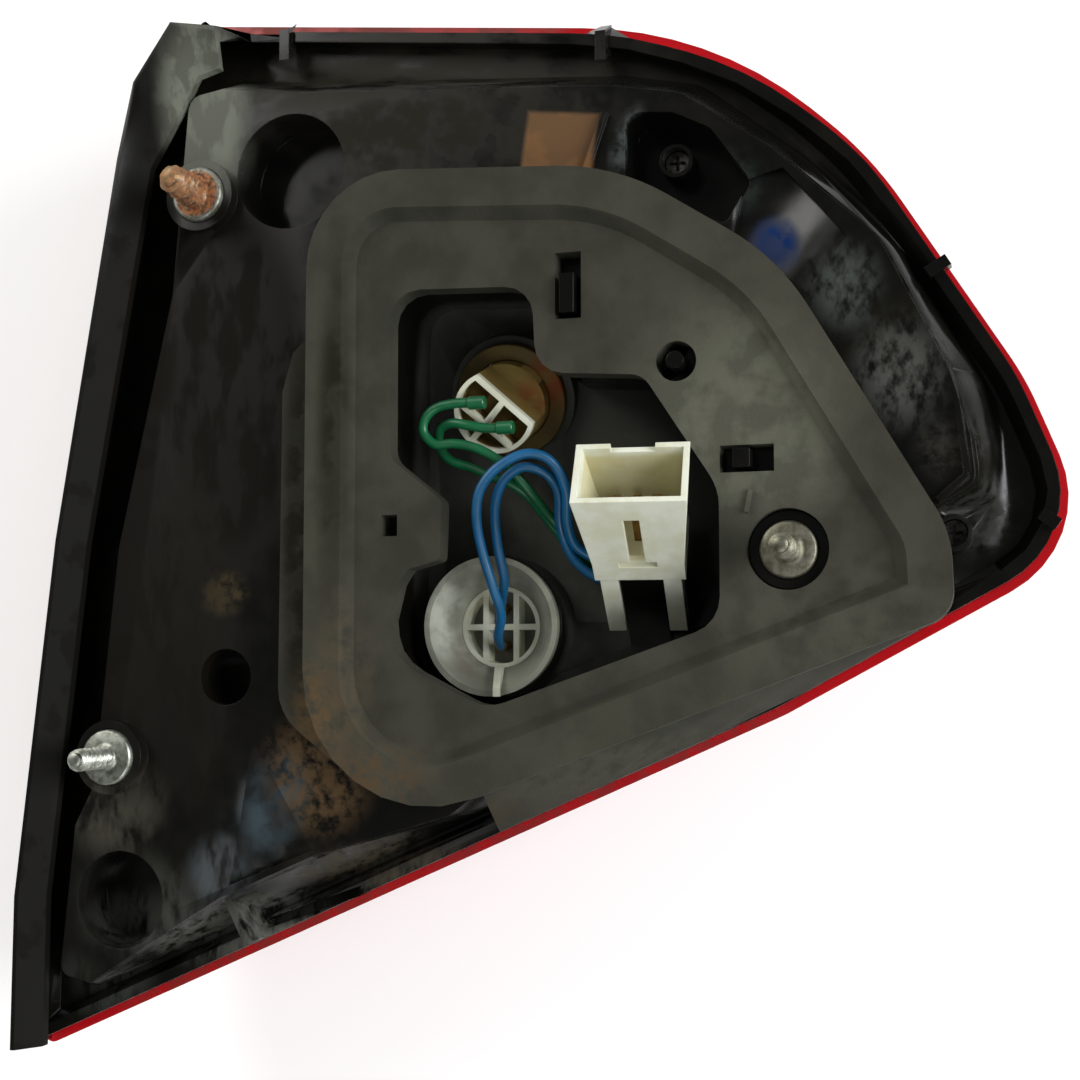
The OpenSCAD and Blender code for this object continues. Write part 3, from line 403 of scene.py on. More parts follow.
@dataclass(frozen=True)
class RustySteel(Finish):
    """Steel whose plating has gone: rust grows from the seat and leaves bright crests.

    Args:
        rust: Colours of the dark and of the light rust.
        rust_from: Y in mm where the rust is thickest.
        rust_reach: Distance in mm over which it thins out.
        rust_cover: Share of the surface that rust hides.
        rust_shade: Width in mm of the dark and light shades.
        rust_spot: Width in mm of the spots that the rust spreads in.
        rust_grit: Width of its grit in mm.
        rust_rise: Height of its grit in mm.
        rust_core: Area round the stud's axis that rusts; the collar's edge outside it keeps its zinc.
    """

    rust: tuple[str, str] = ("#4a2a18", "#9a5c34")
    rust_from: float = 3.0
    rust_reach: float = 20.0
    rust_cover: float = 1.0
    rust_shade: float = 1.6
    rust_spot: float = 2.4
    rust_grit: float = 0.5
    rust_rise: float = 0.12
    rust_core: Patch = Patch((-160, -8, 101.6), (6.9, 60, 6.9), "#96582c", 1.0, core=0.88)

    def material(self) -> bpy.types.Material:
        """Builds bare steel and rust as two shaders, mixed by a patchy mask.

        Returns:
            The material.
        """
        made = Finish.material(self)
        tree = made.node_tree
        coords = add(tree, "ShaderNodeTexCoord").outputs["Object"]
        steel = next(n for n in tree.nodes if n.type == "BSDF_PRINCIPLED")
        out = next(n for n in tree.nodes if n.type == "OUTPUT_MATERIAL")
        shades = spots(tree, coords, self.rust_shade, low=0.38, high=0.62)
        pair = {0: shades, 6: linear(self.rust[0]), 7: linear(self.rust[1])}
        tones = add(tree, "ShaderNodeMix", pair, data_type="RGBA").outputs[2]
        crust = add(tree, "ShaderNodeTexNoise", {"Vector": coords, "Scale": per_mm(self.rust_grit), "Detail": 4.0})
        bumps = add(tree, "ShaderNodeBump", {"Height": crust.outputs[0], "Distance": self.rust_rise * MM})
        rust = add(
            tree,
            "ShaderNodeBsdfPrincipled",
            {"Base Color": tones, "Roughness": 0.9, "Normal": bumps.outputs[0]},
        )
        apart = add(tree, "ShaderNodeSeparateXYZ", {0: coords})
        height = add(
            tree,
            "ShaderNodeMapRange",
            {
                "Value": apart.outputs["Y"],
                "From Min": (self.rust_from - self.rust_reach) * MM,
                "From Max": self.rust_from * MM,
                "To Min": 0.35,
                "To Max": 1.0,
            },
        ).outputs[0]
        mask = spots(tree, coords, self.rust_spot, low=0.34, high=0.5)
        for factor in (height, self.rust_cover, near(tree, coords, self.rust_core)):
            mask = add(tree, "ShaderNodeMath", {0: mask, 1: factor}, operation="MULTIPLY").outputs[0]
        both = add(tree, "ShaderNodeMixShader", {0: mask, 1: steel.outputs[0], 2: rust.outputs[0]})
        tree.links.new(both.outputs[0], out.inputs["Surface"])
        return made


# Gloss black plastic, moulded: deep black with soft reflections, brown road dust where water dries, and in places
# painted reflections and a painted lift of the bay's shade.
HOUSING = Finish(
    "black ABS, moulded",
    "#0a0a09",
    0.13,
    specular=0.3,
    mottle="#11100b",
    mottle_size=22.0,
    mottle_cover=0.8,
    rough_more=0.12,
    edge=0.4,
    patches=(
        Patch((-110, 16, 134), (90, 34, 20), "#2c2920", 0.7, 8.0, (0.45, 1, 1)),
        Patch((-100, 5, 114), (74, 12, 18), "#1e1c13", 0.8, 9.0, even=0.3),
        Patch(
            (-57.8, 5, 106.5), (10.5, 6, 9.3), "#6c4f33", 0.95, 14.0,
            core=0.82, square=True, turned=(0, 8, 0), even=0.75,
        ),
        Patch((-40, 4, 106), (5, 5, 12), "#5b6260", 0.45, 5.0, turned=(0, 20, 0)),
        Patch((-16, 6, 92), (14, 8, 12), "#232a26", 0.7, 6.0),
        Patch((-3, 6, 76), (8, 8, 9), "#082a5c", 0.95, 6.0, even=0.7),
        Patch((14, 10, 64), (13, 12, 16), "#565c58", 0.5, 3.5, (1, 1, 0.6), 35.0),
        Patch((26, 12, 42), (16, 16, 20), "#5e6059", 0.55, 3.0, (1, 1, 0.6), 20.0),
        Patch((36, 14, 24), (12, 14, 14), "#4a483f", 0.5, 3.5),
        Patch((44, 18, 8), (14, 16, 14), "#33352f", 0.55, 5.0),
        Patch((-189, -2, -6), (15, 24, 180), "#0e0d0a", 0.95, 14.0, core=0.75, turned=(0, 7.4, 0), even=0.9),
        # Paler grey at the top corner of the left strip: some dust, and a painted reflection of the light it catches.
        Patch((-160, 0, 126), (16, 26, 34), "#6a6d62", 0.95, 6.0, (1, 1, 0.5), core=0.5, even=0.6),
        Patch((-176, 5, 60), (16, 10, 56), "#120f0a", 0.9, 9.0, (1, 1, 0.4), even=0.6),
        Patch((-150, 5, 50), (28, 10, 64), "#120f0a", 0.95, 10.0, (1, 1, 0.4), core=0.6, even=0.7),
        Patch((-152, 5, -8), (9, 5, 8), "#4a3f28", 0.85, 4.0),
        Patch((-168, 5, -20), (26, 8, 60), "#14110b", 0.9, 7.0, (1, 1, 0.3), core=0.5, even=0.6),
        Patch((-184, 5, -66), (20, 8, 18), "#4c4a40", 0.5, 5.0, (1, 1, 0.5)),
        # Painted reflection: the bluish grey on the facets low on the left stands in for what they reflect.
        Patch((-136, 5, -64), (12, 6, 18), "#44535a", 0.7, 9.0, turned=(0, 20, 0), even=0.3),
        Patch((-152, 5, -82), (12, 6, 12), "#454b4d", 0.6, 6.0, (1, 1, 0.4)),
        Patch((-176, 5, -92), (24, 10, 18), "#3b3c36", 0.6, 4.0, (1, 1, 0.4)),
        # Painted highlight: pale grey streaks along the rim low on the left stand in for glossy highlights.
        Patch((-150, 16, -98), (60, 16, 14), "#5f6058", 0.62, 3.5, (1, 1, 0.3), 20.0),
        Patch((-196, 16, -112), (22, 14, 16), "#4d5049", 0.6, 4.0, (1, 1, 0.3), 10.0),
        Patch((-124, 5, -56), (20, 8, 20), "#55432c", 0.8, 3.0),
        Patch((-110, 14, -80), (40, 14, 12), "#4a4436", 0.6, 3.0, (1, 1, 0.4), 20.0),
        Patch((-40, 22, -50), (60, 8, 14), "#46463d", 0.5, 5.0),
        # Painted light: the bay behind the seal is painted pale grey to lift its shade.
        Patch((-85, 42, 20), (62, 24, 90), "#50504a", 0.9, 10.0, core=0.7, even=0.8),
    ),
)
# Closed-cell foam rubber with a moulded skin: matt, dark warm grey, with dried mud low on the left and a painted sheen
# on the right.
FOAM = Finish(
    "EPDM foam, moulded skin",
    "#2f2f28",
    0.8,
    specular=0.16,
    mottle="#3c3b33",
    mottle_size=18.0,
    mottle_cover=0.8,
    rough_more=0.14,
    grain=Grain.SPARK,
    grain_size=0.8,
    grain_depth=0.12,
    patches=(
        Patch((-60, -4.2, 10), (120, 1.6, 110), "#454439", 0.5, 14.0, core=0.5, even=0.3),
        Patch((-128, 4, 10), (9, 5, 80), "#1b1a11", 0.9, 9.0, core=0.5, even=0.5),
        Patch((-116, -10, 34), (8, 12, 76), "#17180f", 0.9, 14.0, core=0.5, even=0.6),
        # Painted sheen: the seal's flat part on the right is painted paler for the soft glancing sheen it shows.
        Patch((-8, -1, 36), (38, 5, 38), "#5e5f52", 0.8, 12.0, core=0.4, even=0.5),
        Patch((-121, 0, -42), (13, 12, 22), "#574630", 0.85, 3.0),
        Patch((-106, 2, -56), (24, 14, 12), "#4f3f2b", 0.85, 2.6),
        Patch((-88, 6, -66), (30, 14, 9), "#40372a", 0.75, 2.6, (1, 1, 0.4)),
        Patch((-112, -4, -30), (12, 6, 30), "#4c4334", 0.6, 5.0),
        Patch((10, -3, -16), (40, 8, 20), "#4a4a40", 0.5, 9.0),
        Patch((-30, -2, 60), (30, 6, 26), "#3f3f36", 0.5, 12.0),
        Patch((-50, 8, -52), (70, 12, 12), "#4b4a40", 0.5, 4.0, (1, 1, 0.4), 20.0),
    ),
)
# Zinc plated steel, cold formed: pale grey metal, dulled by white corrosion.
ZINC = Finish(
    "zinc plated steel", "#b9bdb2", 0.34, metallic=1.0, mottle="#6f7166", mottle_size=2.2, mottle_cover=0.75,
    rough_more=0.25, grain=Grain.SPARK, grain_size=0.5, grain_depth=0.03,
)
# The stud in the seal has lost most of its shine.
DULL_ZINC = Finish(
    "zinc plated steel, dull", "#8a887a", 0.42, metallic=1.0, mottle="#5d5b48", mottle_size=2.4,
    mottle_cover=0.8, rough_more=0.25, grain=Grain.SPARK, grain_size=0.5, grain_depth=0.04,
)
# The upper left stud is rusted through its plating.
RUSTY = RustySteel(
    "steel, rusted", "#a3a59c", 0.4, metallic=1.0, mottle="#6d6a5c", mottle_size=2.0, mottle_cover=0.9,
    rough_more=0.3, grain=Grain.SPARK, grain_size=0.5, grain_depth=0.05, rust=("#3c2214", "#96582c"),
    patches=(Patch((-160, -8, 101.6), (6.6, 40, 6.6), "#b08a60", 1.0, 3.0, core=0.85, even=0.6),),
)
# Red acrylic lens, injection moulded: clear red that glows at its cut edge.
LENS_RED = Finish(
    "red acrylic, moulded", "#c4131c", 0.08, ior=1.49, transmission=0.32, rough_more=0.05,
    mottle="#ad1119", mottle_size=14.0, mottle_cover=0.5,
    patches=(
        Patch((-110, 27, 156), (75, 6, 16), "#5c3a30", 0.75, 8.0, core=0.6, even=0.5),
        Patch((-150, 27, -105), (70, 5, 34), "#7a3029", 0.6, 5.0, core=0.6),
        Patch((-50, 27, -62), (80, 6, 40), "#822726", 0.7, 5.0, core=0.6, even=0.3),
    ),
)
# Colourless acrylic window in the lens.
LENS_CLEAR = Finish("clear acrylic, moulded", "#f2f2ee", 0.04, ior=1.49, transmission=1.0, rough_more=0.03)
# Dark hot-melt bead in the groove.
SEALANT = Finish("butyl sealant bead", "#161614", 0.6, specular=0.4)
# Aluminium vapour on plastic, near mirror.
MIRROR = Finish("aluminised plastic", "#d9dadb", 0.1, metallic=1.0, rough_more=0.05)
# Small steel screws with a dark coat.
SCREW = Finish(
    "steel, black zinc", "#5c5a55", 0.4, metallic=1.0, mottle="#2c2b28", mottle_size=1.5, mottle_cover=0.8,
)
# Ivory nylon of the holders and the plug socket: slightly translucent and yellowed.
IVORY = Finish(
    "ivory nylon, moulded", "#d9dccb", 0.42, specular=0.45, subsurface=0.15, mottle="#c6c6aa",
    mottle_size=9.0, mottle_cover=0.7, rough_more=0.12, edge=0.2,
    patches=(
        Patch(
            (-37.1, 0.6, 11.1), (14.4, 9.5, 11.5), "#c4bd92", 0.9, 6.0,
            core=0.84, square=True, turned=(55.5, 0, 6), even=0.8,
        ),
    ),
)
# Dark ivory for the disc at the floor of the holder's cells: painted shade.
SHADED_IVORY = replace(IVORY, name="ivory nylon, painted shade", colour="#77766a", mottle="#4c4c42", patches=())
# The upper holder is dark brown apart from its front edge: brown staining from the bulb's heat, and painted shade deep
# inside it.
BROWNED_AND_SHADED_IVORY = replace(
    IVORY,
    name="ivory nylon, browned and painted shade",
    patches=(
        # Painted shade with brown staining: all of the holder but its front edge.
        Patch(
            (-78.2, 27.4, 44.6), (13, 14, 13), "#6e5b2c", 1.0, 5.0,
            core=0.93, square=True, turned=(22, 0, 0), even=0.985,
        ),
        Patch((-70, 24, 44), (8, 8, 8), "#6e3418", 0.6, 4.0),
    ),
)
# Grey rubber of the lower dished seal: dusty and streaked, with a painted reflection that makes its left side paler.
GREY_RUBBER = Finish(
    "grey silicone rubber", "#8f9183", 0.5, specular=0.4, mottle="#6f7064", mottle_size=12.0,
    mottle_cover=0.8, rough_more=0.2,
    patches=(
        # Painted reflection: the dish's left side is painted paler.
        Patch((-94, 22, -14), (7, 12, 16), "#b9bcae", 0.7, 7.0),
        Patch((-88, 22, -20), (6, 12, 14), "#7b6a5a", 0.5, 6.0),
    ),
)
# Brown aged rubber of the upper seal, with reddish stains.
BROWN_RUBBER = Finish(
    "brown silicone rubber", "#54471f", 0.5, specular=0.3, mottle="#4a3a1c", mottle_size=10.0,
    mottle_cover=0.8, rough_more=0.2,
    patches=(
        Patch((-66, 26, 50), (8, 8, 12), "#6b2f16", 0.7, 5.0),
        Patch((-92, 26, 50), (6, 8, 10), "#2e2a14", 0.7, 6.0),
    ),
)
# Brass strip of the terminals, tarnished.
BRASS = Finish("brass strip, tarnished", "#a5834a", 0.35, metallic=1.0, mottle="#5c4526", mottle_size=2.0)
# Thin clear glass of the wedge base bulbs.
GLASS = Finish("soda lime glass", "#f4f4f2", 0.02, ior=1.5, transmission=1.0, rough_more=0.01)
# PVC sheathing of the leads: smooth, gently glossy.
GREEN_PVC = Finish(
    "green PVC sheath", "#0d5f38", 0.32, specular=0.5, mottle="#0a4428", mottle_size=9.0, rough_more=0.15
)
BLUE_PVC = Finish(
    "blue PVC sheath", "#0a5a8a", 0.3, specular=0.5, mottle="#0c4864", mottle_size=9.0, rough_more=0.15
)


# Meshes.


def link(mesh: bpy.types.Mesh, name: str, finish: bpy.types.Material) -> bpy.types.Object:
    """Makes a piece of the object from a mesh in metres.

    Args:
        mesh: The mesh, in place.
        name: Name of the piece.
        finish: Its material.

    Returns:
        The linked object, riding on the lamp.
    """
    piece = bpy.data.objects.new(name, mesh)
    bpy.context.scene.collection.objects.link(piece)
    mesh.materials.clear()
    mesh.materials.append(finish)
    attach(piece, "root")
    return piece


def surface(name: str, points: np.ndarray, finish: bpy.types.Material) -> bpy.types.Object:
    """Puts a grid of points over two parameters into a closed mesh of quads.

    The grid is points[i, j] for the parameter i along the piece and j round it. Quad (i, j) joins (i, j),
    (i + 1, j), (i + 1, j + 1) and (i, j + 1), where j is counted round. Each end closes with a fan on its
    middle, so the skin has no hole.

    Args:
        name: Name of the piece.
        points: Array of rows, columns and three coordinates, in mm.
        finish: Material.

    Returns:
        The piece.
    """
    rows, columns = points.shape[:2]
    i, j = np.meshgrid(np.arange(rows - 1), np.arange(columns), indexing="ij")
    nxt = (j + 1) % columns
    quads = np.stack([i * columns + j, (i + 1) * columns + j, (i + 1) * columns + nxt, i * columns + nxt], -1)
    faces = quads.reshape(-1, 4).tolist()
    verts = np.vstack([points.reshape(-1, 3), points[0].mean(0), points[-1].mean(0)])
    k = np.arange(columns)
    first, last = rows * columns, rows * columns + 1
    base = (rows - 1) * columns
    faces += np.stack([np.full(columns, first), k, (k + 1) % columns], -1).tolist()
    faces += np.stack([np.full(columns, last), base + (k + 1) % columns, base + k], -1).tolist()
    mesh = bpy.data.meshes.new(name)
    mesh.from_pydata((verts * MM).tolist(), [], faces)
    finish_mesh(mesh, 35.0)
    return link(mesh, name, finish)


def finish_mesh(mesh: bpy.types.Mesh, crease: float) -> None:
    """Merges doubles, points the faces outwards and smooths the shading below the crease angle.

    Args:
        mesh: The mesh, changed in place.
        crease: Angle in degrees above which an edge stays sharp.
    """
    work = bmesh.new()
    work.from_mesh(mesh)
    bmesh.ops.remove_doubles(work, verts=work.verts, dist=WELD * MM)
    bmesh.ops.recalc_face_normals(work, faces=work.faces)
    work.to_mesh(mesh)
    work.free()
    mesh.polygons.foreach_set("use_smooth", [True] * len(mesh.polygons))
    mesh.set_sharp_from_angle(angle=math.radians(crease))
    mesh.update()


@dataclass
class Moulding:
    """A moulded piece: its CAD nodes with merged facets, smooth shading and, where it helps, rounded edges.

    Args:
        node: CAD node that it stands for, and is named after.
        finish: Finish.
        slot: Material slot of the record; not used.
        crease: Angle in degrees above which an edge stays sharp.
        radius: Radius in mm of the rounded edges, 0 for none.
        steps: Facets across a rounded edge.
        more: Further CAD nodes of the same moulding.
        weighted: Whether large faces alone set the shading beside the rounded edges.
    """

    node: str
    finish: Finish
    slot: str
    crease: float = 32.0
    radius: float = 0.0
    steps: int = 2
    more: tuple[str, ...] = ()
    weighted: bool = False

    def joined(self, nodes: dict[str, bpy.types.Object]) -> bmesh.types.BMesh:
        """Merged copies of the nodes in one mesh, each with its coplanar facets dissolved.

        Args:
            nodes: CAD nodes by name.

        Returns:
            The mesh, to be freed by the caller.
        """
        result = bmesh.new()
        for name in (self.node, *self.more):
            work = bmesh.new()
            work.from_mesh(nodes[name].data)
            bmesh.ops.remove_doubles(work, verts=work.verts, dist=WELD * MM)
            bmesh.ops.dissolve_limit(work, angle_limit=math.radians(FLAT), verts=work.verts, edges=work.edges)
            mesh = bpy.data.meshes.new(name + "_copy")
            work.to_mesh(mesh)
            work.free()
            result.from_mesh(mesh)
            bpy.data.meshes.remove(mesh)
        self.shape(result)
        return result

    def shape(self, work: bmesh.types.BMesh) -> None:
        """Changes the merged copy; a plain moulding stays as it is."""

    def build(self, nodes: dict[str, bpy.types.Object], material: bpy.types.Material) -> bpy.types.Object:
        """Copies the node's mesh, merges and rounds it, and hides the node.

        Args:
            nodes: CAD nodes by name.
            material: Material made from the finish.

        Returns:
            The piece.
        """
        work = self.joined(nodes)
        mesh = bpy.data.meshes.new(self.node + "_moulded")
        work.to_mesh(mesh)
        work.free()
        mesh.polygons.foreach_set("use_smooth", [True] * len(mesh.polygons))
        mesh.set_sharp_from_angle(angle=math.radians(self.crease))
        piece = link(mesh, self.node + "_moulded", material)
        if self.radius:
            edge = piece.modifiers.new("rounded edges", "BEVEL")
            edge.width = self.radius * MM
            edge.segments = self.steps
            edge.limit_method = "ANGLE"
            edge.angle_limit = math.radians(self.crease)
            edge.use_clamp_overlap = True
            edge.harden_normals = not self.weighted
            if self.weighted:
                flat = piece.modifiers.new("flat faces stay flat", "WEIGHTED_NORMAL")
                flat.keep_sharp = True
        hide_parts(self.node, *self.more)
        log.info("%s: %d faces", piece.name, len(mesh.polygons))
        return piece


@dataclass
class Shell(Moulding):
    """The housing: its clip ribs end flush with the rim, and the rim leans in along the top.

    Args:
        clips: Each clip rib's outer end and its direction outwards, as x and z, and how much is taken off, in mm.
        lean: How far the rim's lip leans in along the top, in mm.
        screw: Place of the screw post that stays as it is, as x and z.
        screw_reach: How far round its place the post is left alone.
        clip_middle: Y of the clip ribs.
        clip_half: Half width of a clip rib across, and along Y.
        clip_reach: Length of a clip rib from its outer end.
        lip_y: Y range of the lip that leans.
        lip_above: Z that the leaning lip lies above.
        lip_from: X where the lean starts.
    """

    clips: tuple[tuple[float, float, float, float, float], ...] = (
        (-141.7, 158.0, 0.0, 1.0, 2.4),
        (-49.0, 145.5, 0.0, 1.0, 1.8),
        (41.0, 73.6, 0.858, 0.515, 3.4),
        (65.5, 3.2, 0.816, -0.577, 4.4),
    )
    lean: float = 3.0
    screw: tuple[float, float] = (-28.5, 101.5)
    screw_reach: float = 8.0
    clip_middle: float = 18.0
    clip_half: tuple[float, float] = (1.65, 2.1)
    clip_reach: float = 13.0
    lip_y: tuple[float, float] = (15.9, 18.2)
    lip_above: float = 100.0
    lip_from: float = -168.0

    def on_clip(self, co: Vector, end: Vector, along: Vector) -> bool:
        """Tells whether a point belongs to a clip rib.

        Args:
            co: The point in metres.
            end: Outer end of the rib in metres.
            along: Direction outwards.

        Returns:
            Whether it does.
        """
        way = (co - end) / MM
        wide, deep = self.clip_half
        across = Vector((-along.z, 0.0, along.x))
        return abs(way @ across) < wide and abs(way.y) < deep and way @ along > -self.clip_reach

    def shape(self, work: bmesh.types.BMesh) -> None:
        """Cuts each clip rib's end off square, closes the cut, and leans the lip in.

        Args:
            work: The merged copy.
        """
        for x, z, along_x, along_z, off in self.clips:
            end = Vector((x, self.clip_middle, z)) * MM
            along = Vector((along_x, 0.0, along_z)).normalized()
            close = [f for f in work.faces if all(self.on_clip(v.co, end, along) for v in f.verts)]
            # Dictionaries, and not sets, keep the order the same in each run.
            edges = dict.fromkeys(e for f in close for e in f.edges)
            verts = dict.fromkeys(v for f in close for v in f.verts)
            cut = bmesh.ops.bisect_plane(
                work,
                geom=[*close, *edges, *verts],
                plane_co=end - along * off * MM,
                plane_no=along,
                clear_outer=True,
            )
            rim = [e for e in cut["geom_cut"] if isinstance(e, bmesh.types.BMEdge) and e.is_boundary]
            if rim:
                bmesh.ops.holes_fill(work, edges=rim, sides=0)
        self.lean_in(work)

    def lean_in(self, work: bmesh.types.BMesh) -> None:
        """Moves the lip's points inwards along the top, square to the outline.

        The step is the lean times min(1, (x - start) / 10) times min(1, (20 - x) / 50), each not below 0. Its
        direction turns from 83 degrees above X at the left to 43 degrees beyond x = 0.

        Args:
            work: The merged copy.
        """
        verts = list(work.verts)
        places = np.array([vert.co for vert in verts]) / MM
        x, y, z = places.T
        lip = (y > self.lip_y[0]) & (y < self.lip_y[1]) & (z >= self.lip_above) & (x >= self.lip_from)
        lip &= np.hypot(x - self.screw[0], z - self.screw[1]) >= self.screw_reach
        share = np.clip((x - self.lip_from) / 10.0, 0, 1) * np.clip((20.0 - x) / 50.0, 0, 1)
        angle = np.radians(83.0 - 40.0 * np.clip((x + 60.0) / 60.0, 0, 1))
        step = self.lean * share
        places[:, 0] -= step * np.cos(angle)
        places[:, 2] -= step * np.sin(angle)
        for i in np.flatnonzero(lip):
            verts[i].co = places[i] * MM


@dataclass
class TabbedHolder(Moulding):
    """The lower holder: its locking tab stands upright in the photo.

    Args:
        skew: How far the tab's tip lies to the right of its root, in mm.
        tab_y: Y of the tab's root and of its tip.
        tab_below: Z that the whole tab lies below.
    """

    skew: float = 2.6
    tab_y: tuple[float, float] = (27.6, 15.6)
    tab_below: float = -28.0

    def shape(self, work: bmesh.types.BMesh) -> None:
        """Skews the tab sideways in proportion to its depth.

        Args:
            work: The merged copy.
        """
        root, tip = self.tab_y
        for vert in work.verts:
            if vert.co.z < self.tab_below * MM and vert.co.y < root * MM:
                vert.co.x += self.skew * MM * (root - vert.co.y / MM) / (root - tip)


@dataclass
class Seal(Moulding):
    """The foam seal: the ring's inner wall slopes, and the opening runs in an arc round the lower holder.

    Args:
        slope: Width in mm that the ring's inner wall slopes over.
        ring_top: Y of the ring's top.
        web: Y of the seal's middle.
        arc_middle: Middle of the arc as x and z.
        arc_radius: Radius of the arc.
        arc_box: Lowest and highest x and z of the opening's points that move onto the arc.
        weld: Points closer than this are one, so the rounded edges have no slivers to clamp on.
        play: How far a point may lie from a level and still be on it.
    """

    slope: float = 3.0
    ring_top: float = -4.0
    web: float = -1.0
    arc_middle: tuple[float, float] = (-82.0, -16.0)
    arc_radius: float = 19.4
    arc_box: tuple[tuple[float, float], tuple[float, float]] = ((-103.0, -24.0), (-86.9, 1.2))
    weld: float = 0.06
    play: float = 0.05

    def shape(self, work: bmesh.types.BMesh) -> None:
        """Slides the foot of the ring's inner wall inwards, and the opening's corner points onto an arc.

        Args:
            work: The merged copy.
        """
        bmesh.ops.remove_doubles(work, verts=work.verts, dist=self.weld * MM)
        bmesh.ops.triangulate(work, faces=work.faces)
        low, high = self.arc_box
        middle = Vector((self.arc_middle[0], 0.0, self.arc_middle[1])) * MM
        moves = {}
        for vert in work.verts:
            x, y, z = vert.co / MM
            if abs(y - self.web) < self.play:
                walls = [
                    f.normal * f.calc_area() for f in vert.link_faces
                    if abs(f.normal.y) < 0.1 and min(v.co.y for v in f.verts) < (self.ring_top + 2 * self.play) * MM
                ]
                if walls:
                    way = sum(walls, Vector()).normalized()
                    moves[vert] = vert.co + way * self.slope * MM
            if low[0] < x < high[0] and low[1] < z < high[1] and y > self.web - self.play:
                out = Vector((vert.co.x, 0.0, vert.co.z)) - middle
                if out.length > self.arc_radius * MM:
                    place = middle + out.normalized() * self.arc_radius * MM
                    moves[vert] = Vector((place.x, vert.co.y, place.z))
        for vert, place in moves.items():
            vert.co = place
        work.normal_update()
        bmesh.ops.dissolve_limit(work, angle_limit=math.radians(FLAT), verts=work.verts, edges=work.edges)


@dataclass
class Workshop:
    """Makes each material once.

    Args:
        made: Materials by name.
    """

    made: dict[str, bpy.types.Material] = field(default_factory=dict)

    def material(self, finish: Finish) -> bpy.types.Material:
        """Material of a finish, made at its first use.

        Args:
            finish: The finish.

        Returns:
            The material.
        """
        if finish.name not in self.made:
            self.made[finish.name] = finish.material()
        return self.made[finish.name]


# Leads.


@dataclass
class Lead:
    """One insulated lead from a bulb holder to the plug socket.

    Args:
        node: CAD node that it stands for.
        route: Points in mm that it runs through.
        finish: Sheath.
        slot: Material slot of the record; not used.
        diameter: Outer diameter in mm.
        per_span: Rings between two route points.
        sides: Facets round the sheath.
    """

    node: str
    route: tuple[Point, ...]
    finish: Finish
    slot: str
    diameter: float = 2.6
    per_span: int = 8
    sides: int = 16

    def line(self) -> np.ndarray:
        """Centre line: a Catmull-Rom spline through the route's points.

        On span k with t from 0 to 1 it is half of (2 B + (C - A) t + (2 A - 5 B + 4 C - D) t2 +
        (3 B - A - 3 C + D) t3), where B and C are the span's ends, A and D their outer neighbours.

        Returns:
            Points along the centre line in mm.
        """
        way = np.array(self.route, float)
        way = np.vstack([2 * way[0] - way[1], way, 2 * way[-1] - way[-2]])
        a, b, c, d = way[:-3, None], way[1:-2, None], way[2:-1, None], way[3:, None]
        t = np.linspace(0, 1, self.per_span, endpoint=False)[None, :, None]
        spans = 0.5 * (2 * b + (c - a) * t + (2 * a - 5 * b + 4 * c - d) * t**2 + (3 * b - a - 3 * c + d) * t**3)
        return np.vstack([spans.reshape(-1, 3), way[-2]])

    def skin(self, centre: np.ndarray) -> np.ndarray:
        """Sheath: circles carried along the centre line.

        Ring i is centre + r (N cos a + B sin a) with N the part of a fixed guide direction that is square to
        the tangent T, and B = T x N. The guide is carried from ring to ring, which keeps the sheath untwisted.

        Args:
            centre: Points along the centre line.

        Returns:
            Grid of points, rings by sides.
        """
        tangent = np.gradient(centre, axis=0)
        tangent /= np.linalg.norm(tangent, axis=1, keepdims=True)
        normals = np.empty_like(tangent)
        guide = np.cross(tangent[0], [0.31, 0.17, 0.94])
        for i in range(len(tangent)):
            guide = guide - tangent[i] * float(guide @ tangent[i])
            guide /= np.linalg.norm(guide)
            normals[i] = guide
        across = np.cross(tangent, normals)
        angle = np.linspace(0, 2 * np.pi, self.sides, endpoint=False)[None, :, None]
        ring = normals[:, None] * np.cos(angle) + across[:, None] * np.sin(angle)
        return centre[:, None] + ring * self.diameter / 2

    def build(self, shop: Workshop) -> bpy.types.Object:
        """Args:
            shop: Maker of materials.

        Returns:
            The piece.
        """
        centre = self.line()
        piece = surface(self.node + "_sheath", self.skin(centre), shop.material(self.finish))
        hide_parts(self.node)
        return piece


class Axis(Enum):
    """Axis that a turned piece runs along."""

    X = 0
    Y = 1


@dataclass(frozen=True)
class Turned:
    """A small turned piece: a sleeve over a crimped barrel, or a dark disc at the floor of a holder's cells that
    paints in their shade.

    Args:
        name: Name of the piece.
        at: Middle in mm.
        finish: Finish.
        slot: Material slot of the record; not used.
        length: Length along the axis in mm.
        radius: Radius in mm.
        axis: Axis of the turning.
        profile: Places along the length and radii, each as a share, from end to end.
        sides: Facets round it.
    """

    name: str
    at: Point
    finish: Finish
    slot: str
    length: float = 4.6
    radius: float = 1.75
    axis: Axis = Axis.X
    profile: tuple[tuple[float, float], ...] = (
        (-0.5, 0.4), (-0.5, 0.86), (-0.44, 1.0), (-0.3, 1.0), (0.3, 1.0), (0.44, 1.0), (0.5, 0.86), (0.5, 0.4),
    )
    sides: int = 24

    def build(self, shop: Workshop) -> bpy.types.Object:
        """Builds the piece: the circle r (cos a, sin a) square to the axis, with r from the profile.

        Args:
            shop: Maker of materials.

        Returns:
            The piece.
        """
        along, out = np.array(self.profile).T
        angle = np.linspace(0, 2 * np.pi, self.sides, endpoint=False)[None, :]
        radius = out[:, None] * self.radius
        parts = [radius * np.cos(angle), radius * np.sin(angle)]
        parts.insert(self.axis.value, np.broadcast_to(along[:, None] * self.length, parts[0].shape))
        points = np.stack(parts, -1) + np.array(self.at)
        return surface(self.name, points, shop.material(self.finish))


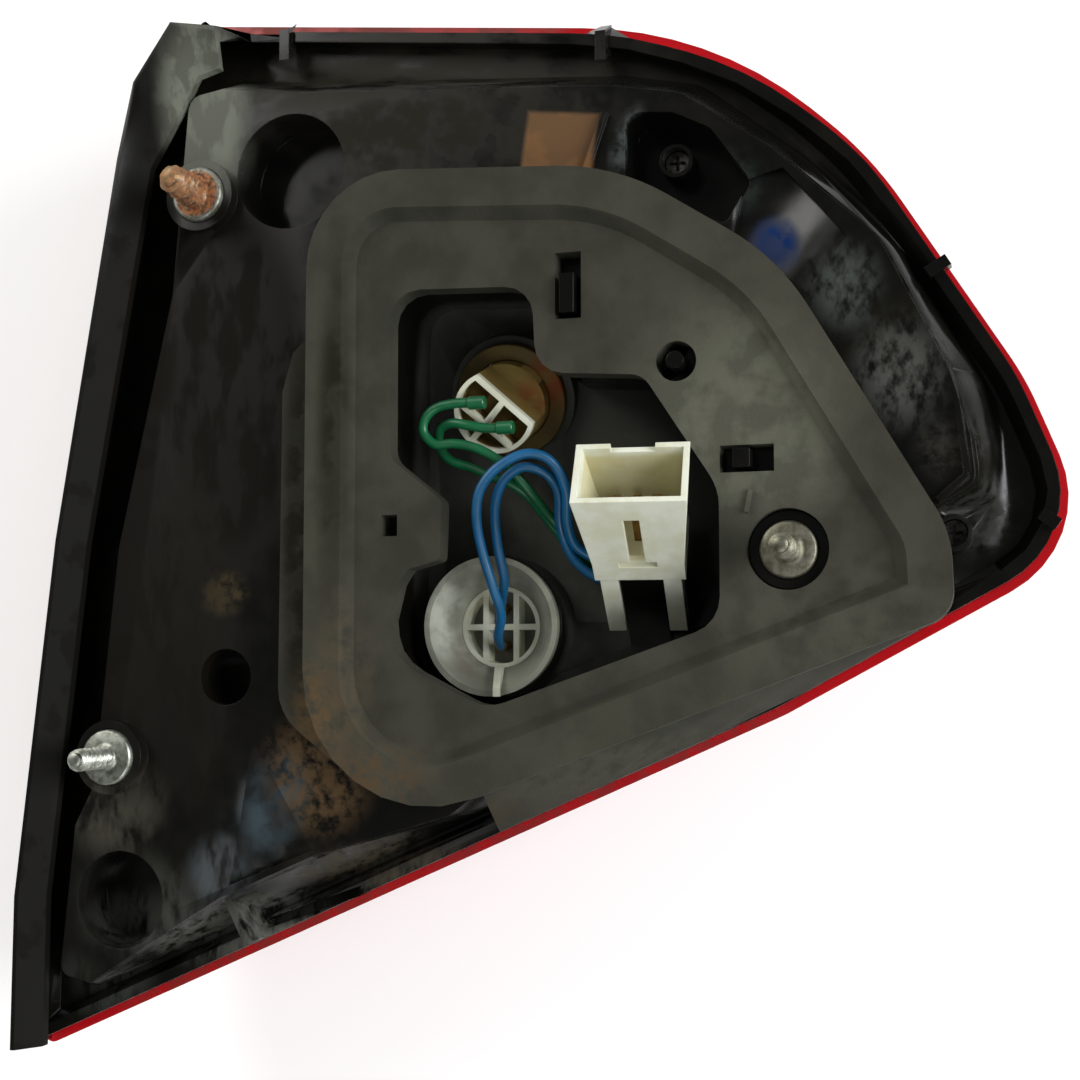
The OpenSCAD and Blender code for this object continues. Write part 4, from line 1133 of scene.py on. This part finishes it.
LEADS = (
    Lead(
        "wire_green_a",
        (
            (-80.8, 9.5, 41.1), (-84, 9.5, 41.2), (-88, 9.5, 41.2), (-93, 9.5, 40.3), (-96, 9.5, 37.7),
            (-96.7, 10, 34), (-93.7, 10.5, 30.8), (-88.5, 11, 30.8), (-82.5, 11.5, 29.4), (-77, 12.5, 26.3),
            (-73, 14, 23), (-69, 18, 17.2), (-65.5, 24, 11.5), (-60, 28, 4.5), (-53.5, 30, -1),
            (-46, 30.8, -3.5), (-40.8, 29.8, -3), (-39, 27, -0.7), (-38.5, 23.3, 2.3), (-38.2, 20, 4.6),
        ),
        GREEN_PVC,
        "lead_green",
    ),
    Lead(
        "wire_green_b",
        (
            (-73.7, 12.1, 34.6), (-77, 12.1, 34.6), (-81, 11.7, 34.8), (-85, 11.2, 35.6), (-89.5, 11.8, 36.4),
            (-93.2, 13.5, 35.2), (-94.3, 15.5, 31.5), (-91.5, 15.8, 27.3), (-85, 15.8, 24.8),
            (-79.5, 15.8, 22.2), (-74, 17, 20), (-70, 20.2, 16.5), (-66.8, 26, 11), (-61, 30, 3),
            (-55, 31.8, -4), (-47, 32.3, -7), (-41.5, 30, -6.8), (-39, 26, -4.3), (-38.3, 21.3, -0.7),
            (-38, 18, 1.6),
        ),
        GREEN_PVC,
        "lead_green",
    ),
    Lead(
        "wire_blue_a",
        (
            (-80.7, 30, -22.1), (-80.7, 27, -22.1), (-80, 23, -19.5), (-77.8, 18.5, -14), (-78.6, 14.5, -7.5),
            (-80.2, 11, 0.9), (-81, 8, 9), (-80.3, 6.7, 16), (-77.7, 6.5, 20.8), (-73.5, 7, 24.5),
            (-68.5, 8.3, 26.8), (-64, 10, 26.4), (-60.8, 12, 23.5), (-59, 15, 17.5), (-59.8, 19, 10),
            (-58.5, 22.6, 4), (-54, 25.5, 0.8), (-49, 26.8, -0.6), (-46, 26.1, -0.1), (-45, 22.6, 2.3),
            (-44.6, 19.3, 4.6),
        ),
        BLUE_PVC,
        "lead_blue",
    ),
    Lead(
        "wire_blue_b",
        (
            (-80.7, 30, -12.1), (-80.7, 27, -12.1), (-79, 23, -10), (-77, 18.5, -4.5), (-77.5, 14.5, 4),
            (-77.2, 11.5, 13.2), (-75, 10.5, 19.8), (-70.4, 11, 23.6), (-66, 13, 23.3), (-63, 15, 21),
            (-61.8, 18, 17), (-62.6, 22, 9.5), (-60.5, 25, 2), (-56, 26.3, -3), (-50.5, 26.5, -5.2),
            (-46.8, 25.4, -4.3), (-45, 22.6, -2.1), (-44.8, 20.6, -0.7), (-44.4, 17.3, 1.6),
        ),
        BLUE_PVC,
        "lead_blue",
    ),
)


# Studs.


@dataclass
class Stud:
    """A rolled mounting stud with its collar, one closed skin of revolution with a helical thread.

    Args:
        node: CAD node that it stands for.
        at: Axis as x and z in mm.
        collar: Collar diameter.
        finish: Finish.
        slot: Material slot of the record; not used.
        diameter: Thread diameter.
        length: Thread length in front of the collar.
        point: Length of the plain point.
        pitch: Thread pitch.
        collar_thick: Collar thickness.
        root: Length behind the collar.
        sides: Facets round the stud.
        crust: Thickness of the rust lump on the thread, at the collar.
    """

    node: str
    at: tuple[float, float]
    collar: float
    finish: Finish
    slot: str
    diameter: float = 6.0
    length: float = 13.0
    point: float = 2.0
    pitch: float = 1.0
    collar_thick: float = 3.0
    root: float = 7.0
    sides: int = 48
    crust: float = 0.0

    def profile(self) -> tuple[np.ndarray, np.ndarray, np.ndarray]:
        """Radius along the axis, and how deep the thread cuts there.

        Returns:
            Places along Y, plain radii and thread depths, all in mm.
        """
        r = self.diameter / 2
        c = self.collar / 2
        y_thread = np.linspace(-self.length, -0.9, int(self.length / self.pitch * 8))
        head = [(-self.length - self.point, 0.42 * r, 0), (-self.length - self.point + 0.4, 0.62 * r, 0),
                (-self.length - 0.5, 0.66 * r, 0)]
        thread = [(float(y), r, 1) for y in y_thread]
        rest = [(-0.7, r, 0.5), (-0.45, r + 0.15, 0), (-0.1, r + 0.55, 0), (0.0, r + 1.2, 0),
                (0.0, c - 0.7, 0), (0.25, c - 0.25, 0), (0.75, c, 0), (self.collar_thick - 0.4, c, 0),
                (self.collar_thick, c - 0.4, 0), (self.collar_thick, r, 0),
                (self.collar_thick + self.root, r, 0)]
        rows = np.array(head + thread + rest, float)
        return rows[:, 0], rows[:, 1], rows[:, 2]

    def build(self, shop: Workshop) -> bpy.types.Object:
        """Builds the stud.

        The radius at the angle a and the place y is R(y) - D(y) |2 frac(y / pitch - a / 2 pi) - 1| times the
        thread height, which is 0.61 pitch for a metric thread. A rust lump adds its thickness at the collar,
        less towards the tip, times 1 + 0.25 sin(3 a + 1.3 y) + 0.15 sin(7 a - 2.9 y + 1).

        Args:
            shop: Maker of materials.

        Returns:
            The piece.
        """
        y, plain, cut = self.profile()
        angle = np.linspace(0, 2 * np.pi, self.sides, endpoint=False)
        turn = (y[:, None] / self.pitch - angle[None, :] / (2 * np.pi)) % 1.0
        ridge = np.abs(2 * turn - 1)
        radius = plain[:, None] - cut[:, None] * 0.61 * self.pitch * ridge
        share = np.clip((y + self.length + self.point) / (self.length + self.point), 0, 1) * (y < -0.6)
        lumps = 1 + 0.25 * np.sin(3 * angle[None, :] + 1.3 * y[:, None]) + 0.15 * np.sin(
            7 * angle[None, :] - 2.9 * y[:, None] + 1
        )
        radius = radius + self.crust * (0.35 + 0.65 * share[:, None]) * lumps * (y < -0.6)[:, None]
        points = np.stack(
            [
                self.at[0] + radius * np.cos(angle)[None, :],
                np.broadcast_to(y[:, None], radius.shape),
                self.at[1] + radius * np.sin(angle)[None, :],
            ],
            -1,
        )
        piece = surface(self.node + "_turned", points, shop.material(self.finish))
        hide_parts(self.node)
        log.info("%s: thread M%g x %g", piece.name, self.diameter, self.pitch)
        return piece


# Sub-assemblies.


@dataclass
class Assembly:
    """Pieces that are fitted together before they go into the lamp.

    Args:
        mouldings: Its mouldings.
        others: Its studs, leads and turned pieces.
    """

    mouldings: tuple[Moulding, ...] = ()
    others: tuple[Stud | Lead | Turned, ...] = ()

    def build(self, nodes: dict[str, bpy.types.Object], shop: Workshop) -> None:
        """Builds the mouldings, then the rest, each with its material.

        Args:
            nodes: CAD nodes by name.
            shop: Maker of materials.
        """
        for moulding in self.mouldings:
            moulding.build(nodes, shop.material(moulding.finish))
        for piece in self.others:
            piece.build(shop)


@dataclass
class Body(Assembly):
    """Housing, foam seal and studs."""

    mouldings: tuple[Moulding, ...] = (
        Shell(
            "housing",
            HOUSING,
            "housing_plastic",
            30.0,
            more=(
                "housing_face", "housing_bay", "housing_pocket_upper_left", "housing_pocket_lower_left",
                "housing_pocket_middle_left", "housing_screw_pocket",
            ),
        ),
        Seal("gasket", FOAM, "seal_foam", 24.0, 1.2, 3, weighted=True),
    )
    others: tuple[Stud, ...] = (
        Stud("stud_upper_left", (-160, 101.6), 15.0, RUSTY, "rusty_steel", crust=1.5),
        Stud("stud_lower_left", (-184, -52.2), 15.0, ZINC, "zinc_steel"),
        Stud("stud_gasket", (0, 0), 14.0, DULL_ZINC, "zinc_steel"),
    )


@dataclass
class LightSources(Assembly):
    """Bulb holders with their seals, terminals and bulbs, and the leads to the plug socket."""

    mouldings: tuple[Moulding, ...] = (
        TabbedHolder("holder_lower", IVORY, "ivory_plastic", 34.0),
        Moulding("holder_upper", BROWNED_AND_SHADED_IVORY, "ivory_plastic", 34.0),
        Moulding("holder_seal_lower", GREY_RUBBER, "seal_grey_rubber", 34.0),
        Moulding("holder_seal_upper", BROWN_RUBBER, "seal_brown_rubber", 34.0, 0.6, 3),
        Moulding("contacts_lower", BRASS, "contact_brass", 34.0),
        Moulding("contacts_upper", BRASS, "contact_brass", 34.0),
        Moulding("bulb_lower", GLASS, "bulb_glass", 40.0),
        Moulding("bulb_upper", GLASS, "bulb_glass", 40.0),
    )
    others: tuple[Lead | Turned, ...] = (
        *LEADS,
        Turned("sleeve_green_a", (-81.7, 9.45, 41.1), GREEN_PVC, "lead_green"),
        Turned("sleeve_green_b", (-74.7, 12.1, 34.6), GREEN_PVC, "lead_green"),
        # A dark disc at the floor of the lower holder's cells paints in their shade.
        Turned(
            "holder_lower_painted_shade_disc", (-80.7, 33.3, -17.1), SHADED_IVORY, "ivory_plastic", 0.5, 9.6, Axis.Y,
            ((-0.5, 0.3), (-0.5, 1.0), (0.5, 1.0), (0.5, 0.3)), 32,
        ),
    )


@dataclass
class PlugSocket(Assembly):
    """Ivory plug socket with its blades and rear seal."""

    mouldings: tuple[Moulding, ...] = (
        Moulding("connector_housing", IVORY, "ivory_plastic", 34.0, 0.25, 2),
        Moulding("connector_pins", BRASS, "contact_brass", 34.0),
        Moulding("connector_wire_seal", GREY_RUBBER, "seal_grey_rubber", 34.0),
    )


@dataclass
class Front(Assembly):
    """Lens, its window and sealant, the reflector and its screws."""

    mouldings: tuple[Moulding, ...] = (
        Moulding("lens_red", LENS_RED, "lens_red_plastic", 40.0),
        Moulding("lens_clear", LENS_CLEAR, "lens_clear_plastic", 40.0),
        Moulding("lens_sealant", SEALANT, "sealant", 40.0),
        Moulding("reflector", MIRROR, "metallised_plastic", 40.0),
        Moulding("reflector_screw_upper", SCREW, "screw_steel", 34.0),
        Moulding("reflector_screw_right", SCREW, "screw_steel", 34.0),
    )


# Stage.


@dataclass(frozen=True)
class Lamp:
    """One soft square light.

    Args:
        name: Name of the light.
        at: Position in metres.
        size: Side in metres.
        power: Power in watts.
        colour: Colour.
    """

    name: str
    at: Point
    size: float
    power: float
    colour: str

    def build(self, aim: Point) -> None:
        """Adds the light, turned to a point.

        Args:
            aim: Point that it looks at, in metres.
        """
        data = bpy.data.lights.new(self.name, "AREA")
        data.shape = "SQUARE"
        data.size = self.size
        data.energy = self.power
        data.color = linear(self.colour)[:3]
        light = bpy.data.objects.new(self.name, data)
        light.location = self.at
        way = Vector(aim) - Vector(self.at)
        light.rotation_mode = "QUATERNION"
        light.rotation_quaternion = way.to_track_quat("-Z", "Y")
        bpy.context.scene.collection.objects.link(light)


@dataclass
class Studio:
    """Pale table under the lens, soft lights and the camera.

    Args:
        lamps: The lights.
        aim: Point that they look at, in metres.
        table_y: Plane of the table, just under the lens.
        table_half: Half size of the table in metres.
        table_glow: What lifts the table to white for the eye.
        room_light: Strength at which the surroundings light the lamp.
        room_dim: Strength of the room behind the camera in reflections.
        room_edge: Y of the direction between which the room turns from dim to white.
        camera_at: Camera position in metres.
        camera_to: Point it looks at, in metres.
        lens: Focal length in mm.
        sensor: Width of the sensor in mm.
    """

    lamps: tuple[Lamp, ...] = (
        Lamp("window right", (1.15, -0.58, 0.10), 0.8, 22.0, "#fbfcff"),
        Lamp("window upper left", (-0.85, -0.75, 0.75), 0.7, 8.5, "#fffdf8"),
        Lamp("fill below", (0.25, -1.0, -0.9), 0.6, 3.5, "#ffffff"),
    )
    aim: Point = (-0.07, 0.02, 0.01)
    table_y: float = 81.0
    table_half: float = 3.0
    table_glow: float = 0.28
    room_light: float = 0.36
    room_dim: float = 0.10
    room_edge: tuple[float, float] = (-0.55, 0.1)
    camera_at: Point = (0.0445, -0.3582, -0.0290)
    camera_to: Point = (-0.0616, 0.0, 0.0037)
    lens: float = 50.0
    sensor: float = 36.0

    def table(self) -> None:
        """Table plane that faces the camera: white to the eye, but it keeps the lamp's shadow."""
        size, y = self.table_half, self.table_y * MM
        mesh = bpy.data.meshes.new("table")
        mesh.from_pydata([(-size, y, -size), (size, y, -size), (size, y, size), (-size, y, size)], [], [(0, 1, 2, 3)])
        table = bpy.data.objects.new("table", mesh)
        bpy.context.scene.collection.objects.link(table)
        made = bpy.data.materials.new("white laminate table")
        made.use_nodes = True
        tree = made.node_tree
        tree.nodes.clear()
        paths = add(tree, "ShaderNodeLightPath").outputs
        seen = add(tree, "ShaderNodeMath", {0: paths["Is Camera Ray"], 1: paths["Is Glossy Ray"]}, operation="MAXIMUM")
        seen = add(tree, "ShaderNodeMath", {0: seen.outputs[0], 1: paths["Is Transmission Ray"]}, operation="MAXIMUM")
        board = add(tree, "ShaderNodeBsdfDiffuse", {"Color": linear("#e6e6e5")})
        shine = add(tree, "ShaderNodeMath", {0: seen.outputs[0], 1: self.table_glow}, operation="MULTIPLY")
        glow = add(tree, "ShaderNodeEmission", {"Color": (1, 1, 1, 1), "Strength": shine.outputs[0]})
        lit = add(tree, "ShaderNodeAddShader", {0: board.outputs[0], 1: glow.outputs[0]})
        clear = add(tree, "ShaderNodeBsdfTransparent")
        side = add(tree, "ShaderNodeNewGeometry").outputs["Backfacing"]
        both = add(tree, "ShaderNodeMixShader", {0: side, 1: lit.outputs[0], 2: clear.outputs[0]})
        add(tree, "ShaderNodeOutputMaterial", {"Surface": both.outputs[0]})
        mesh.materials.append(made)

    def world(self) -> None:
        """White surroundings for the eye and for reflections, softer light for what they light."""
        world = bpy.data.worlds.new("studio")
        bpy.context.scene.world = world
        world.use_nodes = True
        tree = world.node_tree
        tree.nodes.clear()
        paths = add(tree, "ShaderNodeLightPath").outputs
        eyes = {0: paths["Is Camera Ray"], 1: paths["Is Transmission Ray"]}
        eye = add(tree, "ShaderNodeMath", eyes, operation="MAXIMUM")
        way = add(tree, "ShaderNodeTexCoord").outputs["Generated"]
        apart = add(tree, "ShaderNodeSeparateXYZ", {0: way})
        # The room behind the camera is dim, as in the photo; the table side is white.
        room = add(
            tree,
            "ShaderNodeMapRange",
            {
                "Value": apart.outputs["Y"],
                "From Min": self.room_edge[0],
                "From Max": self.room_edge[1],
                "To Min": self.room_dim,
                "To Max": 1.0,
            },
            interpolation_type="SMOOTHSTEP",
        ).outputs[0]
        gloss = add(tree, "ShaderNodeMath", {0: room, 1: paths["Is Glossy Ray"]}, operation="MULTIPLY").outputs[0]
        white = add(tree, "ShaderNodeMath", {0: eye.outputs[0], 1: gloss}, operation="MAXIMUM").outputs[0]
        share = {0: paths["Is Diffuse Ray"], 1: self.room_light}
        soft = add(tree, "ShaderNodeMath", share, operation="MULTIPLY").outputs[0]
        strength = add(tree, "ShaderNodeMath", {0: white, 1: soft}, operation="MAXIMUM")
        back = add(tree, "ShaderNodeBackground", {"Color": (1, 1, 1, 1), "Strength": strength.outputs[0]})
        add(tree, "ShaderNodeOutputWorld", {"Surface": back.outputs[0]})

    def camera(self) -> None:
        """Places the camera where the photo was taken from."""
        data = bpy.data.cameras.new("camera")
        data.lens = self.lens
        data.sensor_width = self.sensor
        data.clip_start = 0.01
        data.clip_end = 50.0
        camera = bpy.data.objects.new("camera", data)
        camera.location = self.camera_at
        way = Vector(self.camera_to) - Vector(self.camera_at)
        camera.rotation_mode = "QUATERNION"
        camera.rotation_quaternion = way.to_track_quat("-Z", "Y")
        bpy.context.scene.collection.objects.link(camera)
        bpy.context.scene.camera = camera

    def build(self) -> None:
        """Builds the table, the surroundings, the lights and the camera."""
        self.table()
        self.world()
        for lamp in self.lamps:
            lamp.build(self.aim)
        self.camera()


def main() -> None:
    """Builds the lamp around the frame, piece by piece."""
    logging.basicConfig(level=logging.INFO, format="%(name)s: %(message)s")
    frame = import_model()
    scene = bpy.context.scene
    scene.view_settings.view_transform = "Standard"
    nodes = frame["nodes"]
    shop = Workshop()
    Studio().build()
    for part in (Body(), LightSources(), PlugSocket(), Front()):
        part.build(nodes, shop)
        log.info("%s built", type(part).__name__)


if __name__ == "__main__":
    main()
